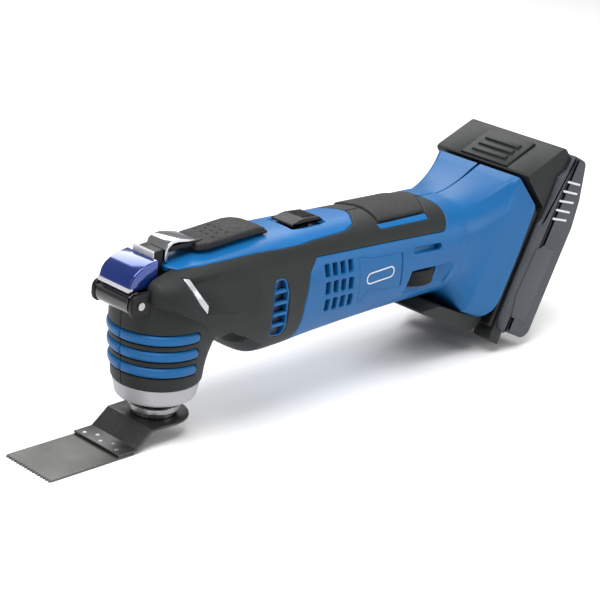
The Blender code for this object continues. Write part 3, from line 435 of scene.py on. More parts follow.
def sd_poly(pts, X, Y):
    """Signed distance to a polygon, positive inside."""
    pts = np.asarray(pts, float)
    n = len(pts)
    d = np.full(X.shape, 1e9)
    inside = np.zeros(X.shape, bool)
    for i in range(n):
        x0, y0 = pts[i]
        x1, y1 = pts[(i + 1) % n]
        ex, ey = x1 - x0, y1 - y0
        wx, wy = X - x0, Y - y0
        t = np.clip((wx * ex + wy * ey) / (ex * ex + ey * ey + 1e-12), 0, 1)
        d = np.minimum(d, (wx - ex * t) ** 2 + (wy - ey * t) ** 2)
        c = ((y0 <= Y) & (y1 > Y)) | ((y1 <= Y) & (y0 > Y))
        with np.errstate(divide="ignore", invalid="ignore"):
            xi = x0 + (Y - y0) * ex / (ey if ey != 0 else 1e-12)
        inside ^= c & (X < xi)
    d = np.sqrt(d)
    return np.where(inside, d, -d)


def sd_round(pts, r, X, Y):
    """Polygon with rounded corners: shrink by r, then grow."""
    pts = np.asarray(pts, float)
    n = len(pts)
    area = 0.5 * sum(pts[i][0] * pts[(i + 1) % n][1] - pts[(i + 1) % n][0] * pts[i][1] for i in range(n))
    s = 1.0 if area > 0 else -1.0
    out = []
    for i in range(n):
        p, a, b = pts[i], pts[i - 1], pts[(i + 1) % n]
        u, w = p - a, b - p
        u, w = u / (np.linalg.norm(u) + 1e-12), w / (np.linalg.norm(w) + 1e-12)
        nu_, nw = s * np.array([-u[1], u[0]]), s * np.array([-w[1], w[0]])
        m = nu_ + nw
        m /= max(0.3, 1 + nu_.dot(nw))
        out.append(p + m * r)
    return sd_poly(out, X, Y) + r


def sd_capsule(p, q, r, X, Y):
    ex, ey = q[0] - p[0], q[1] - p[1]
    t = np.clip(((X - p[0]) * ex + (Y - p[1]) * ey) / (ex * ex + ey * ey + 1e-12), 0, 1)
    return r - np.hypot(X - p[0] - ex * t, Y - p[1] - ey * t)


def polyline_d(pts, X, Y):
    d = np.full(X.shape, 1e9)
    for (x0, y0), (x1, y1) in zip(pts[:-1], pts[1:]):
        ex, ey = x1 - x0, y1 - y0
        t = np.clip(((X - x0) * ex + (Y - y0) * ey) / (ex * ex + ey * ey), 0, 1)
        d = np.minimum(d, np.hypot(X - x0 - ex * t, Y - y0 - ey * t))
    return d


def sstep(a, b, x):
    t = np.clip((x - a) / (b - a), 0, 1)
    return t * t * (3 - 2 * t)


# ====================================================================== surfaces
BODY = np.array((
    (-21.0, 20.5, 87.0, 60.0, 3.2), (-10.0, 26.8, 90.2, 56.0, 2.9), (5.0, 30.0, 92.2, 51.0, 2.7), (25.0, 31.5, 93.4, 43.0, 2.6),
    (45.0, 32.0, 94.8, 35.5, 2.6), (60.0, 31.5, 95.2, 35.0, 2.6), (80.0, 30.6, 95.0, 36.0, 2.6), (110.0, 29.8, 94.0, 37.2, 2.6),
    (140.0, 29.4, 93.0, 38.0, 2.6), (170.0, 29.6, 92.2, 38.4, 2.6), (204.0, 30.4, 91.4, 38.0, 2.6)))
BX = BODY[:, 0]
BG = [None] + [np.gradient(BODY[:, k], BX) for k in range(1, 5)]


def station(x, k):
    x = np.clip(x, BX[0], BX[-1])
    Y, m = BODY[:, k], BG[k]
    i = np.clip(np.searchsorted(BX, x) - 1, 0, len(BX) - 2)
    h = BX[i + 1] - BX[i]
    t = (x - BX[i]) / h
    return ((2 * t ** 3 - 3 * t ** 2 + 1) * Y[i] + (t ** 3 - 2 * t ** 2 + t) * h * m[i]
            + (-2 * t ** 3 + 3 * t ** 2) * Y[i + 1] + (t ** 3 - t ** 2) * h * m[i + 1])


NOSE_X = -20.5
NOSE_K = 3.5


def S_body(q):
    """Right half (y < 0): u is x, v runs 0 at the crown to 100 underneath.
    Below u = NOSE_X the surface closes over the cowl's front face."""
    u, v = q[:, 0], q[:, 1]
    a = math.pi / 2 - math.pi * v / 100.0
    x = np.maximum(u, NOSE_X)
    w, zt, zb, e = (station(x, k) for k in (1, 2, 3, 4))
    h, c = (zt - zb) / 2, (zt + zb) / 2
    t = np.clip((NOSE_X + NOSE_K - x) / NOSE_K, 0, 1)
    inset = NOSE_K * (1 - np.sqrt(np.clip(1 - t * t, 0, 1)))
    capk = np.clip((NOSE_X - u) / 14.0, 0, 1)
    w1, h1 = (w - inset) * (1 - capk), (h - inset) * (1 - capk)
    cs, sn = np.cos(a), np.sin(a)
    y = -w1 * np.sign(cs) * np.abs(cs) ** (2 / e)
    z = c + h1 * np.sign(sn) * np.abs(sn) ** (2 / e)
    return np.stack([x, y, z], 1)


HEAD_R0, HEAD_R1, HEAD_Z0, HEAD_ZT = 22.6, 25.2, 30.3, 62.0


def head_r(z):
    t = np.clip((z - HEAD_Z0) / (HEAD_ZT - HEAD_Z0), 0, 1)
    return HEAD_R0 + (HEAD_R1 - HEAD_R0) * t ** 0.85


def S_head(q):
    """Right half of the gear head: u is z, v runs 0 at the front to 100 at the rear."""
    z, v = q[:, 0], q[:, 1]
    ph = math.pi - math.pi * v / 100.0
    r = head_r(z)
    t = np.clip((z - HEAD_Z0) / (HEAD_ZT - HEAD_Z0), 0, 1)
    rear = 23.0 + 11.0 * np.clip((z - 33.0) / 17.0, 0, 1.6) ** 1.9 + 2.0 * t
    c, s = np.cos(ph), np.sin(ph)
    return np.stack([(r + (rear - r) * np.clip(c, 0, 1) ** 2) * c, -r * s, z], 1)

# ====================================================================== solids
def inset_poly(pts, d):
    pts = np.asarray(pts, float)
    n = len(pts)
    area = 0.5 * sum(pts[i][0] * pts[(i + 1) % n][1] - pts[(i + 1) % n][0] * pts[i][1] for i in range(n))
    s = 1.0 if area > 0 else -1.0
    out = []
    for i in range(n):
        p, a, b = pts[i], pts[i - 1], pts[(i + 1) % n]
        u, w = p - a, b - p
        u, w = u / (np.linalg.norm(u) + 1e-12), w / (np.linalg.norm(w) + 1e-12)
        m = s * (np.array([-u[1], u[0]]) + np.array([-w[1], w[0]]))
        out.append(p + m / max(0.4, 1 + u.dot(w)) * d)
    return np.array(out)


def round_poly(pts, r, seg=5):
    """Corner arcs of radius r, or one radius for each corner."""
    pts = np.asarray(pts, float)
    n = len(pts)
    rr = [r] * n if np.isscalar(r) else list(r)
    out = []
    for i in range(n):
        p, a, b = pts[i], pts[i - 1], pts[(i + 1) % n]
        u, w = a - p, b - p
        lu, lw = np.linalg.norm(u), np.linalg.norm(w)
        u, w = u / lu, w / lw
        half = 0.5 * math.acos(max(-1.0, min(1.0, u.dot(w))))
        if rr[i] <= 0 or half > 1.5:
            out.append(p)
            continue
        t = min(rr[i] / math.tan(half), 0.48 * lu, 0.48 * lw)
        q0, q1 = p + u * t, p + w * t
        for k in range(seg + 1):
            f = k / seg
            out.append((1 - f) ** 2 * q0 + 2 * f * (1 - f) * p + f * f * q1)
    return np.array(out)


def soft_prism(pts, y0, y1, r=0.8, seg=4, mp=None):
    """An extruded outline whose edges at both ends are rolled over."""
    rings = []
    for k in range(seg + 1):
        a = math.pi / 2 * k / seg
        rings.append((inset_poly(pts, r * (1 - math.sin(a))), y0 + r * (1 - math.cos(a))))
    for k in range(seg, -1, -1):
        a = math.pi / 2 * k / seg
        rings.append((inset_poly(pts, r * (1 - math.sin(a))), y1 - r * (1 - math.cos(a))))
    n = len(pts)
    V, F = [], []
    for q, y in rings:
        for (u, w) in q:
            V.append((u, y, w) if mp is None else mp(u, w, y))
    for k in range(len(rings) - 1):
        for i in range(n):
            j = (i + 1) % n
            F.append((k * n + i, k * n + j, (k + 1) * n + j, (k + 1) * n + i))
    F.append(tuple(range(n - 1, -1, -1)))
    F.append(tuple((len(rings) - 1) * n + i for i in range(n)))
    return fix(np.array(V, float), F)


def fix(V, F):
    """Turn a closed mesh's faces outwards by its signed volume."""
    vol = 0.0
    for f in F:
        a = V[f[0]]
        for k in range(1, len(f) - 1):
            vol += float(np.dot(a, np.cross(V[f[k]], V[f[k + 1]])))
    if vol < 0:
        F = [tuple(f[::-1]) for f in F]
    return V, F


def lathe(profile, seg=96, c=(0, 0, 0), axis="Z", closed=True, fr=0.0, wob=None):
    """profile: (radius, height) points. closed profiles make rings; open ones start and end on the axis."""
    pr = np.asarray(profile, float)
    if fr > 0:
        pr = round_poly(pr, fr, 4) if closed else np.r_[pr[:1], round_poly(pr, [0] + [fr] * (len(pr) - 2) + [0], 4)[1:-1], pr[-1:]]
    n = len(pr)
    V, F = [], []
    for i in range(seg):
        a = 2 * math.pi * i / seg
        for (r, h) in pr:
            if wob is not None:
                r = wob(r, h, a, i)
            x, y = r * math.cos(a), r * math.sin(a)
            if axis == "Z":
                V.append((x, y, h))
            elif axis == "Y":
                V.append((x, h, y))
            else:
                V.append((h, x, y))
    m = n if closed else n - 1
    for i in range(seg):
        j = (i + 1) % seg
        for k in range(m):
            l = (k + 1) % n
            a, b, cc, d = i * n + k, j * n + k, j * n + l, i * n + l
            if not closed and pr[k][0] < 1e-6:
                F.append((k, cc, d))
            elif not closed and pr[l][0] < 1e-6:
                F.append((a, b, l))
            else:
                F.append((a, b, cc, d))
    V = np.array(V, float) + np.array(c, float)
    used = sorted({i for f in F for i in f})
    mp_ = {v: k for k, v in enumerate(used)}
    return fix(V[used], [tuple(mp_[i] for i in f) for f in F])


def refined(node, mat, body, bevel=0.6, angle=28.0, segs=3, dissolve=1.5, sharp=38.0, name=None):
    """A detailed piece made from a CAD node's own shape: its facets merged and its edges rounded."""
    me = NODES[node].data.copy()
    me.materials.clear()
    bm = bmesh.new()
    bm.from_mesh(me)
    bmesh.ops.remove_doubles(bm, verts=bm.verts, dist=2e-6)
    bmesh.ops.dissolve_limit(bm, angle_limit=math.radians(dissolve), use_dissolve_boundaries=False, verts=bm.verts, edges=bm.edges)
    ed = [e for e in bm.edges if len(e.link_faces) == 2 and e.calc_face_angle(0.0) > math.radians(angle)]
    if bevel > 0 and ed:
        bmesh.ops.bevel(bm, geom=ed, offset=bevel / 1000.0, offset_type="OFFSET", segments=segs, profile=0.5, affect="EDGES", clamp_overlap=True)
    bmesh.ops.triangulate(bm, faces=[f for f in bm.faces if len(f.verts) > 4])
    bmesh.ops.recalc_face_normals(bm, faces=bm.faces)
    bm.to_mesh(me)
    bm.free()
    o = bpy.data.objects.new(name or (node + "_fine"), me)
    SC.objects.link(o)
    me.materials.append(MAT[mat])
    me.shade_smooth()
    me.set_sharp_from_angle(angle=math.radians(sharp))
    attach(o, body)
    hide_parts(node)
    return o


T = math.radians(25.38)


def PK(s_, m_, y):
    return (247.9 + s_ * math.sin(T) - m_ * math.cos(T), y, 6.1 + s_ * math.cos(T) + m_ * math.sin(T))


# ====================================================================== body regions
RUB_EDGE = [(-80, 10), (66.0, 10.0), (67.8, 40.0), (69.6, 62.0), (73.4, 78.4), (80.5, 84.6), (128.0, 82.6), (176.0, 80.7), (179.2, 80.8),
            (181.6, 82.2), (184.6, 86.0), (187.0, 90.0), (189.0, 130.0), (-80, 130)]
STRIP = [(-6.2, 0.0), (-6.0, -9.2), (-3.3, -13.6), (9.0, -16.6), (31.9, -18.1), (60.0, -20.3), (73.0, -20.4), (84.0, -19.4), (109.0, -17.9), (118.3, -14.4),
         (125.9, -4.2), (127.4, 0.0), (125.9, 4.2), (118.3, 14.4), (109.0, 17.9), (84.0, 19.4), (73.0, 20.4), (60.0, 20.3), (31.9, 18.1), (9.0, 16.6), (-3.3, 13.6), (-6.0, 9.2)]
PAD = [(139.2, 0.0), (135.2, -16.6), (139.0, -16.9), (172.4, -16.4), (174.0, -15.0), (181.8, -3.0), (182.4, 0.0), (181.8, 3.0), (174.0, 15.0), (172.4, 16.4), (139.0, 16.9), (135.2, 16.6)]
ACCENT = [(133.2, -17.4), (173.0, -16.9), (172.0, -21.0), (134.4, -20.7)]


def rub_side(P):
    return sd_round(RUB_EDGE, 1.2, P[:, 0], P[:, 2])


def strip_f(P):
    d = sd_round(STRIP, 1.0, P[:, 0], P[:, 1])
    return np.where(P[:, 2] > 80, d, -30.0)


def pad_f(P):
    d = sd_round(PAD, 0.8, P[:, 0], P[:, 1])
    return np.where(P[:, 2] > 80, d, -30.0)


def accent_f(P):
    d = sd_round(ACCENT, 0.5, P[:, 0], -np.abs(P[:, 1]))
    return np.where(P[:, 2] > 80, d, -30.0)


def channel_f(P):
    """The lever's channel between the cheeks, positive inside it."""
    a = 11.9 - np.abs(P[:, 1])
    b = -5.2 - P[:, 0]
    c = P[:, 2] - 80.6
    return np.minimum(np.minimum(a, b), c)


OVAL = [(47.0, 49.6), (55.2, 48.6), (57.4, 51.5), (57.6, 64.0), (56.4, 76.5), (53.0, 79.6), (49.0, 79.4), (46.6, 76.0), (45.8, 62.0)]


def oval_f(P):
    return sd_round(OVAL, 2.4, P[:, 0], P[:, 2])


CHEV = [(-5.3, 88.2), (-2.4, 86.4), (4.4, 75.6), (3.6, 71.0)]


def chev_f(P):
    return sd_poly([(-5.4, 88.2), (-2.5, 87.8), (-2.1, 85.3), (-0.9, 82.4), (1.1, 79.1), (3.9, 75.4), (3.5, 71.0), (-0.7, 76.3), (-3.3, 81.0), (-4.9, 84.9)], P[:, 0], P[:, 2])


SCOOP = [(-2.4, 87.9), (36.0, 88.6), (40.0, 76.0), (37.0, 65.2), (3.6, 70.8), (4.0, 75.5), (1.2, 79.1), (-0.8, 82.4), (-2.0, 85.3)]


def scoop_f(P):
    return sd_poly(SCOOP, P[:, 0], P[:, 2])


def scoop_d(d, P):
    fade = np.clip((38.0 - P[:, 0]) / 36.0, 0, 1) ** 1.2
    return -3.4 * fade * sstep(0.0, 1.6, d)


def dent_d(d, P):
    """Hollow where the neck, the cowl and the belly meet."""
    c = np.array([29.0, -25.5, 48.5])
    k = np.sqrt(((P[:, 0] - c[0]) / 6.0) ** 2 + ((P[:, 2] - c[2]) / 5.4) ** 2)
    return -5.0 * np.clip(1 - k * k, 0, 1) ** 1.0


CREASE = [(-44.0, 86.0), (-25.0, 78.0), (-13.3, 74.5), (1.9, 66.5), (14.7, 61.1), (30.0, 53.2), (46.0, 45.0), (46.0, 10.0), (-44.0, 10.0)]


def crease_f(P):
    """Below the cowl's overhang, where the neck steps in."""
    return sd_poly(CREASE, P[:, 0], P[:, 2])


def crease_d(d, P):
    return -4.2 * np.clip((45.0 - P[:, 0]) / 16.0, 0, 1) * sstep(0.0, 1.0, d)


def skin_region(P):
    d = rub_side(P)
    d = np.minimum(d, -P[:, 1] - 0.14)
    for f in (strip_f, pad_f, accent_f, channel_f, oval_f, chev_f):
        d = np.minimum(d, -f(P) - 0.12)
    return d


COLLAR = lambda P: 187.5 + 0.24 * (P[:, 2] - 42.0) - P[:, 0]

xs_front = np.r_[np.linspace(-34.5, -20.5, 9)[:-1], np.linspace(-20.5, -14.0, 12)[:-1]]
xs = np.r_[xs_front, np.arange(-14.0, 200.6, 1.25)]
vs = np.linspace(0, 100, 97)


def blue_region(P, side):
    d = np.minimum(-rub_side(P) - 0.12, -P[:, 1] - 0.14)
    d = np.minimum(d, COLLAR(P))
    d = np.minimum(d, -grid_f(P))
    if side < 0:
        d = np.minimum(d, -win_f(P))
    return d


WIN = [(152.2, 54.6), (154.2, 61.9), (175.2, 61.2), (174.8, 53.6)]


def win_f(P):
    return sd_round(WIN, 0.8, P[:, 0], P[:, 2])


def grid_f(P):
    """Twelve vent slots in a slightly sheared grid."""
    best = np.full(len(P), -50.0)
    for i in range(4):
        for j in range(3):
            cx = 86.2 + 5.9 * i + 0.6 * (2 - j)
            cz = 58.1 + 9.35 * j - 0.25 * i
            X, Z = P[:, 0] - cx, P[:, 2] - cz
            qx, qz = np.abs(X) - 1.75, np.abs(Z) - 3.35
            d = -(np.hypot(np.maximum(qx, 0), np.maximum(qz, 0)) + np.minimum(np.maximum(qx, qz), 0))
            best = np.maximum(best, d)
    return best


def grid_d(d, P):
    # sunk 2.4 mm, reaching full depth 0.55 mm inside each slot's edge
    return -2.4 * sstep(-0.05, 0.55, d)


def slot_f(P):
    return sd_capsule((154.9, 74.6), (173.9, 73.6), 1.9, P[:, 0], P[:, 2])


def slot_d(d, P):
    return -(1.2 + 2.4 * np.clip((P[:, 0] - 154) / 20.0, 0, 1)) * sstep(-0.05, 0.5, d)


def groove(field, w, depth):
    """A narrow V groove along field = 0."""
    def f(P):
        return field(P)

    def disp(d, P):
        return -depth * np.clip(1 - np.abs(d) / w, 0, 1)
    return (f, (-w, 0.0, w), disp)


def badge_panel(P):
    return sd_round([(111.5, 52.4), (110.0, 79.4), (122.0, 76.6), (144.0, 75.4), (144.9, 56.4), (118.0, 59.4)], 1.0, P[:, 0], P[:, 2])


def vline(P):
    """Deep groove at the rear of the badge panel, seen as a field that only exists near the line."""
    d = polyline_d([(144.0, 75.4), (144.8, 57.0)], P[:, 0], P[:, 2])
    return 0.75 - d


def ramp_f(P):
    return sd_round([(148.8, 50.4), (152.8, 63.6), (177.0, 62.8), (187.8, 63.2), (182.6, 49.6), (176.0, 49.2)], 0.6, P[:, 0], P[:, 2])


def ramp_d(d, P):
    X, Z = P[:, 0], P[:, 2]
    right = np.clip((187.5 - X) / 11.0, 0, 1)
    below = np.clip((Z - 49.2) / 4.6, 0, 1)
    above = np.clip((63.4 - Z) / 1.0, 0, 1)
    left = np.clip((X - 149.6) / 2.0, 0, 1)
    return -2.6 * np.minimum(np.minimum(right, below), np.minimum(above, left)) * sstep(0.0, 0.5, d)


for side, nm in ((-1, "right"), (1, "left")):
    # ---------------- rubber over the body
    feats = [(crease_f, (0.0, 0.5, 1.0), crease_d), (scoop_f, (0.0, 1.1, 2.2), scoop_d), (lambda P: 8.0 - np.hypot(P[:, 0] - 29, P[:, 2] - 48.5), (0.0, 3.0), dent_d)]
    a = patch(S_body, xs, vs, skin_region, roll=0.7, thick=1.7, feats=feats, side=side)

    # ---------------- rubber over the head
    def arc_u(P):
        return (math.pi - np.arctan2(-P[:, 1], P[:, 0])) * head_r(P[:, 2])

    RIBS = (40.4, 49.0, 57.6)

    def rib_f(P, grow=0.0, half=2.55):
        best = np.full(len(P), -50.0)
        s = arc_u(P)
        s = np.where(P[:, 1] > 1.0, 0.0, s)
        for k, z in enumerate(RIBS):
            s_end = (42.0, 43.0, 43.8)[k]
            d = sd_capsule((-10.0, z), (s_end - half, z), half + grow, s, P[:, 2])
            best = np.maximum(best, d)
        return best

    def head_region(P):
        d = np.minimum(-rib_f(P, 0.5), -P[:, 1] - 0.14)
        d = np.minimum(d, np.minimum(P[:, 2] - 30.6, 80.4 - P[:, 2]))
        return d

    zs = np.r_[30.6, np.arange(31.2, 80.5, 1.0), 80.4]
    b = patch(S_head, zs, np.linspace(0, 100, 110), head_region, roll=0.45, thick=1.5, side=side, flip=True)
    V, F, M = join([a, b])
    add_object("skin_" + nm, V, F, "rubber", "tool", ("rubber_skin_" + nm,), sharp=40)
    # the lips of the ribs' slots, seen dark, are the wall behind
    rib = patch(S_head, np.arange(36.0, 62.5, 0.62), np.linspace(0, 100, 120), lambda P: np.minimum(rib_f(P), -P[:, 1] - 0.14), roll=1.9,
                thick=1.2, offset=1.05, side=side, flip=True)
    wall = patch(S_head, np.arange(33.0, 66.0, 1.5), np.linspace(0, 100, 60), lambda P: -P[:, 1] - 0.1, roll=0.3, thick=0.8, offset=-1.9, side=side, flip=True)
    V, F, M = join([rib])
    add_object("nose_ribs_" + nm, V, F, "blue", "tool", sharp=50)
    V, F, M = join([wall])
    add_object("nose_wall_" + nm, V, F, "black", "tool", sharp=50)

    # ---------------- blue shell
    bf = [(slot_f, (-0.05, 0.3, 0.6), slot_d), groove(badge_panel, 0.28, 0.22),
          (vline, (0.0, 0.35, 0.7), lambda d, P: -0.9 * sstep(0.0, 0.7, d))]
    if side < 0:
        bf.append((ramp_f, (0.0, 0.25, 0.5), ramp_d))
    c = patch(S_body, np.arange(60.0, 200.6, 1.1), vs, lambda P, s=side: blue_region(P, s), roll=0.6, thick=2.6, feats=bf, side=side)
    V, F, M = join([c])
    add_object("shell_" + nm, V, F, "blue", "tool", ("housing_" + nm,), sharp=40)
    # a dark navy sheet behind the vent slots: painted shade for the shaded inside of the slots
    c = patch(S_body, np.arange(80.0, 112.0, 1.0), np.linspace(28, 76, 40), lambda P: np.minimum(P[:, 2] - 51.0, 84.0 - P[:, 2]), roll=0.3, thick=0.8,
              offset=-4.4, side=side)
    V, F, M = join([c])
    add_object("vent_shade_sheet_" + nm, V, F, "deep", "tool", sharp=40)


# ====================================================================== crown strip, pad and accents
def both(S):
    return S


def recess_f(P):
    d = sd_round([(77.6, -9.7), (86.0, -10.5), (105.3, -8.9), (105.3, 8.9), (86.0, 10.5), (77.6, 9.7)], 1.6, P[:, 0], P[:, 1])
    return np.where(P[:, 2] > 80, d, -30.0)


def slot_hole_f(P):
    d = sd_round([(80.6, -6.2), (105.0, -6.2), (105.0, 6.2), (80.6, 6.2)], 0.8, P[:, 0], P[:, 1])
    return np.where(P[:, 2] > 80, d, -30.0)


def strip_region(P):
    return np.minimum(strip_f(P), -slot_hole_f(P))


V_, T_ = patch(S_body, np.arange(-8.0, 130.0, 0.9), np.linspace(-32, 32, 72), strip_region, roll=0.9, thick=2.0,
               feats=[(recess_f, (0.0, 0.4, 0.9, 1.6), lambda d, P: -1.5 * sstep(0.0, 1.6, d))], side=-1)
add_object("crown_strip", V_, [tuple(t) for t in T_], "blue_strip", "tool", ("top_strip",), sharp=45)
V_, T_ = patch(S_body, np.arange(132.0, 184.5, 0.8), np.linspace(-32, 32, 80), lambda P: pad_f(P) - 0.5, roll=1.2, thick=2.6, offset=1.0, side=-1)
add_object("palm_pad", V_, [tuple(t) for t in T_], "rubber_rough", "tool", ("grip_pad",), sharp=60)
V_, T_ = patch(S_body, np.arange(130.0, 186.0, 0.9), np.linspace(-40, 40, 70),
               lambda P: np.minimum(-P[:, 0] + 184.0, np.minimum(P[:, 0] - 131.0, 23.0 - np.abs(P[:, 1]))), roll=0.5, thick=1.0, offset=-1.7, side=-1)
add_object("crown_under", V_, [tuple(t) for t in T_], "black", "tool", sharp=60)
for side, nm in ((-1, "right"), (1, "left")):
    V_, T_ = patch(S_body, np.arange(131.0, 175.5, 0.6), np.linspace(0, 45, 66), lambda P: accent_f(P) - 0.1, roll=0.6, thick=1.8, offset=-0.25, side=side)
    add_object("accent_" + nm, V_, [tuple(t) for t in T_], "blue_strip", "tool", sharp=45)

# lever channel: floor, cheeks and rear wall inside the cowl
def box_soft(x0, x1, y0, y1, z0, z1, r=0.3):
    return soft_prism([(x0, z0), (x1, z0), (x1, z1), (x0, z1)], y0, y1, r, 3)


V, F, M = join([box_soft(-31.8, -5.0, -11.9, 11.9, 79.6, 80.6), box_soft(-5.6, -4.4, -11.9, 11.9, 79.8, 89.8),
                soft_prism([(-19.5, 80.0), (-4.6, 80.0), (-4.6, 89.9), (-12.0, 88.4), (-19.5, 85.0)], 12.0, 12.9, 0.25, 3),
                soft_prism([(-19.5, 80.0), (-4.6, 80.0), (-4.6, 89.9), (-12.0, 88.4), (-19.5, 85.0)], -12.9, -12.0, 0.25, 3)])
add_object("lever_channel", V, F, "black", "tool", sharp=40)
ear = round_poly([(-32.0, 71.0), (-32.0, 82.0), (-15.0, 83.6), (-15.0, 70.0)], [5.0, 5.0, 0.5, 0.5], 8)
V, F, M = join([soft_prism(ear, 12.2, 15.2, 0.9, 4), soft_prism(ear, -15.2, -12.2, 0.9, 4)])
add_object("hinge_ears", V, F, "black", "tool", sharp=40)

# oval side vent: blue frame, four bars, and a dark box behind as painted shade inside the vent
for side, nm in ((-1, "right"), (1, "left")):
    def yw(x, z):
        return -31.9 * (1 - (max(0.0, z - 65.0) / 30.2) ** 2.6) ** (1 / 2.6) if z >= 65 else -31.9 * (1 - ((65.0 - z) / 29.8) ** 2.6) ** (1 / 2.6)

    parts = []
    outl = round_poly([(46.4, 49.4), (55.6, 48.4), (57.2, 54.0), (56.9, 72.0), (55.2, 79.6), (48.4, 80.0), (46.2, 72.0)], 3.0, 6)
    inn = inset_poly(outl, 0.9)
    n_ = len(outl)
    Vv, Ff = [], []
    for (q, dy) in ((outl, 0.6), (inset_poly(outl, 0.35), -0.15), (inn, 0.2), (inn, 3.2), (outl, 3.2)):
        for (x, z) in q:
            Vv.append((x, yw(x, z) + dy, z))
    for k in range(5):
        l = (k + 1) % 5
        for i in range(n_):
            j = (i + 1) % n_
            Ff.append((k * n_ + i, k * n_ + j, l * n_ + j, l * n_ + i))
    parts.append((*fix(np.array(Vv), Ff), 0))
    for k in range(4):
        z = 55.3 + 5.9 * k
        y = yw(51.5, z)
        parts.append((*soft_prism([(46.9, z - 0.75), (56.6, z - 0.95), (56.6, z + 0.75), (46.9, z + 0.95)], y + 0.5, y + 3.4, 0.5, 3), 0))
    # the dark box behind the bars: painted shade inside the vent
    parts.append((*box_soft(46.0, 57.6, -28.0, -27.2, 48.0, 80.2, 0.2), 1))
    V, F, M = join(parts)
    if side > 0:
        V = V * [1, -1, 1]
        F = [tuple(f[::-1]) for f in F]
    add_object("side_vent_" + nm, V, F, None, "tool", sharp=40, mats=["blue", "deep"], fmat=M)
    # silver sliver beside the cowl
    V_, T_ = patch(S_body, np.arange(-8.0, 8.0, 0.35), np.linspace(5, 62, 150), lambda P: chev_f(P) - 0.05, roll=0.35, thick=1.8, offset=0.15, side=side)
    add_object("silver_inlay_" + nm, V_, [tuple(t) for t in T_], "inlay", "tool", sharp=45)

# blank name badge: a white outlined pill on the right half
def pill(P, g=0.0):
    return sd_capsule((119.7, 66.1), (134.9, 66.7), 3.25 + g, P[:, 0], P[:, 2])


V_, T_ = patch(S_body, np.arange(112.0, 143.0, 0.3), np.linspace(30, 62, 130), lambda P: np.minimum(pill(P), -pill(P, -0.75)), roll=0.12, thick=0.25, offset=0.10, side=-1)
add_object("badge_outline", V_, [tuple(t) for t in T_], "white", "tool", sharp=45)


# ====================================================================== foot
RIM = [(0, (236.5, 0, 102.6)), (22, (236.5, -30, 102.6)), (40, (250.0, -33.5, 84.5)), (47, (245.2, -34.1, 74.2)), (56, (238.6, -34.4, 58.5)), (72, (226.4, -34.4, 32.4)), (78, (221.8, -33.8, 27.4)), (82, (217, -32, 24.9)),
       (86, (215, -28, 23.2)), (100, (213, 0, 22))]
ROFF = [(0, (-5, 0, -2)), (20, (-5, .3, -2.5)), (22, (-4.5, .8, -7.8)), (40, (-23, 2, 0)), (72, (-23, 3, 2.5)), (78, (-20, 3.5, 4)), (86, (-12, 3, 5)), (100, (-8, 0, 3))]


def ctrl(tab, v, soft=1.2):
    xs_ = np.array([t[0] for t in tab], float)
    ys_ = np.array([t[1] for t in tab], float)
    out = 0
    for o_ in (-soft, -soft / 2, 0, soft / 2, soft):
        vv = np.abs(v + o_)
        vv = np.where(vv > 100, 200 - vv, vv)
        out = out + np.stack([np.interp(vv, xs_, ys_[:, k]) for k in range(3)], 1)
    out = out / 5
    out[v <= 0, 1] = 0
    out[v >= 100, 1] = 0
    return out


def S_foot(q):
    u, v = q[:, 0], q[:, 1]
    x = np.full(len(u), 195.0)
    for _ in range(4):
        N_ = S_body(np.stack([x, v], 1))
        x = 186.3 + 0.24 * (N_[:, 2] - 42.0)
    N_ = S_body(np.stack([x, v], 1))
    cen = np.array([0, 0, 64.6])
    N_ = N_.copy()
    N_[:, 1] *= 0.972
    N_[:, 2] = cen[2] + (N_[:, 2] - cen[2]) * 0.972
    R_ = ctrl(RIM, v)
    F_ = R_ + ctrl(ROFF, v)
    C_ = N_.copy()
    C_[:, 0] = N_[:, 0] + 0.42 * (F_[:, 0] - N_[:, 0])
    t = np.clip(u, 0, 1)[:, None]
    P = (1 - t) ** 2 * N_ + 2 * t * (1 - t) * C_ + t * t * F_
    k = np.clip((u - 1) / 0.35, 0, 1)[:, None]
    return P * (1 - k) + R_ * k


us_f = np.r_[np.linspace(0, 1, 34), np.linspace(1.03, 1.35, 10)]
for side, nm in ((-1, "right"), (1, "left")):
    V_, T_ = patch(S_foot, us_f, np.linspace(0, 100, 150), lambda P: -P[:, 1] - 0.05, roll=0.5, thick=2.4, side=side)
    add_object("foot_" + nm, V_, [tuple(t) for t in T_], "blue", "tool", sharp=32)

V, F = soft_prism(round_poly([(-1.0, 26.1), (69.5, 26.1), (71.5, 31.5), (66.0, 32.0), (20.0, 30.4), (-0.5, 29.5)], [2, 1, 1, 2, 2, 2], 5), -33.3, 33.3, 1.2, 5, lambda u, w, y: PK(u, w, y))
add_object("foot_core", V, F, "black", "tool", sharp=38)
refined("foot_bumper", "rubber", "tool", 1.4, 25, 4, 2.0)

# ====================================================================== lever
# spot welds on the blade arm
wp = []
for (x_, y_) in ((-33.3, 12.4), (-33.2, 0.2), (-33.0, -11.9), (-30.1, 6.3), (-30.0, -5.8)):
    wp.append(lathe([(0, 2.45), (1.15, 2.45), (1.15, 2.72), (0.8, 2.86), (0.4, 2.76), (0, 2.72)], 28, (x_, y_, 0), "Z", False, 0.0))
V, F, M = join(wp)
add_object("spot_welds", V, F, "steel", "spindle", sharp=50)

refined("lever_hood", "hood", "lever", 0.8, 25, 4, 0.5, 50)
refined("lever_neck", "black", "lever", 0.5, 30, 3)
refined("lever_arch", "chrome", "lever", 0.35, 40, 3, 0.1, 60)
refined("lever_bar", "black", "lever", 0.6, 30, 3)


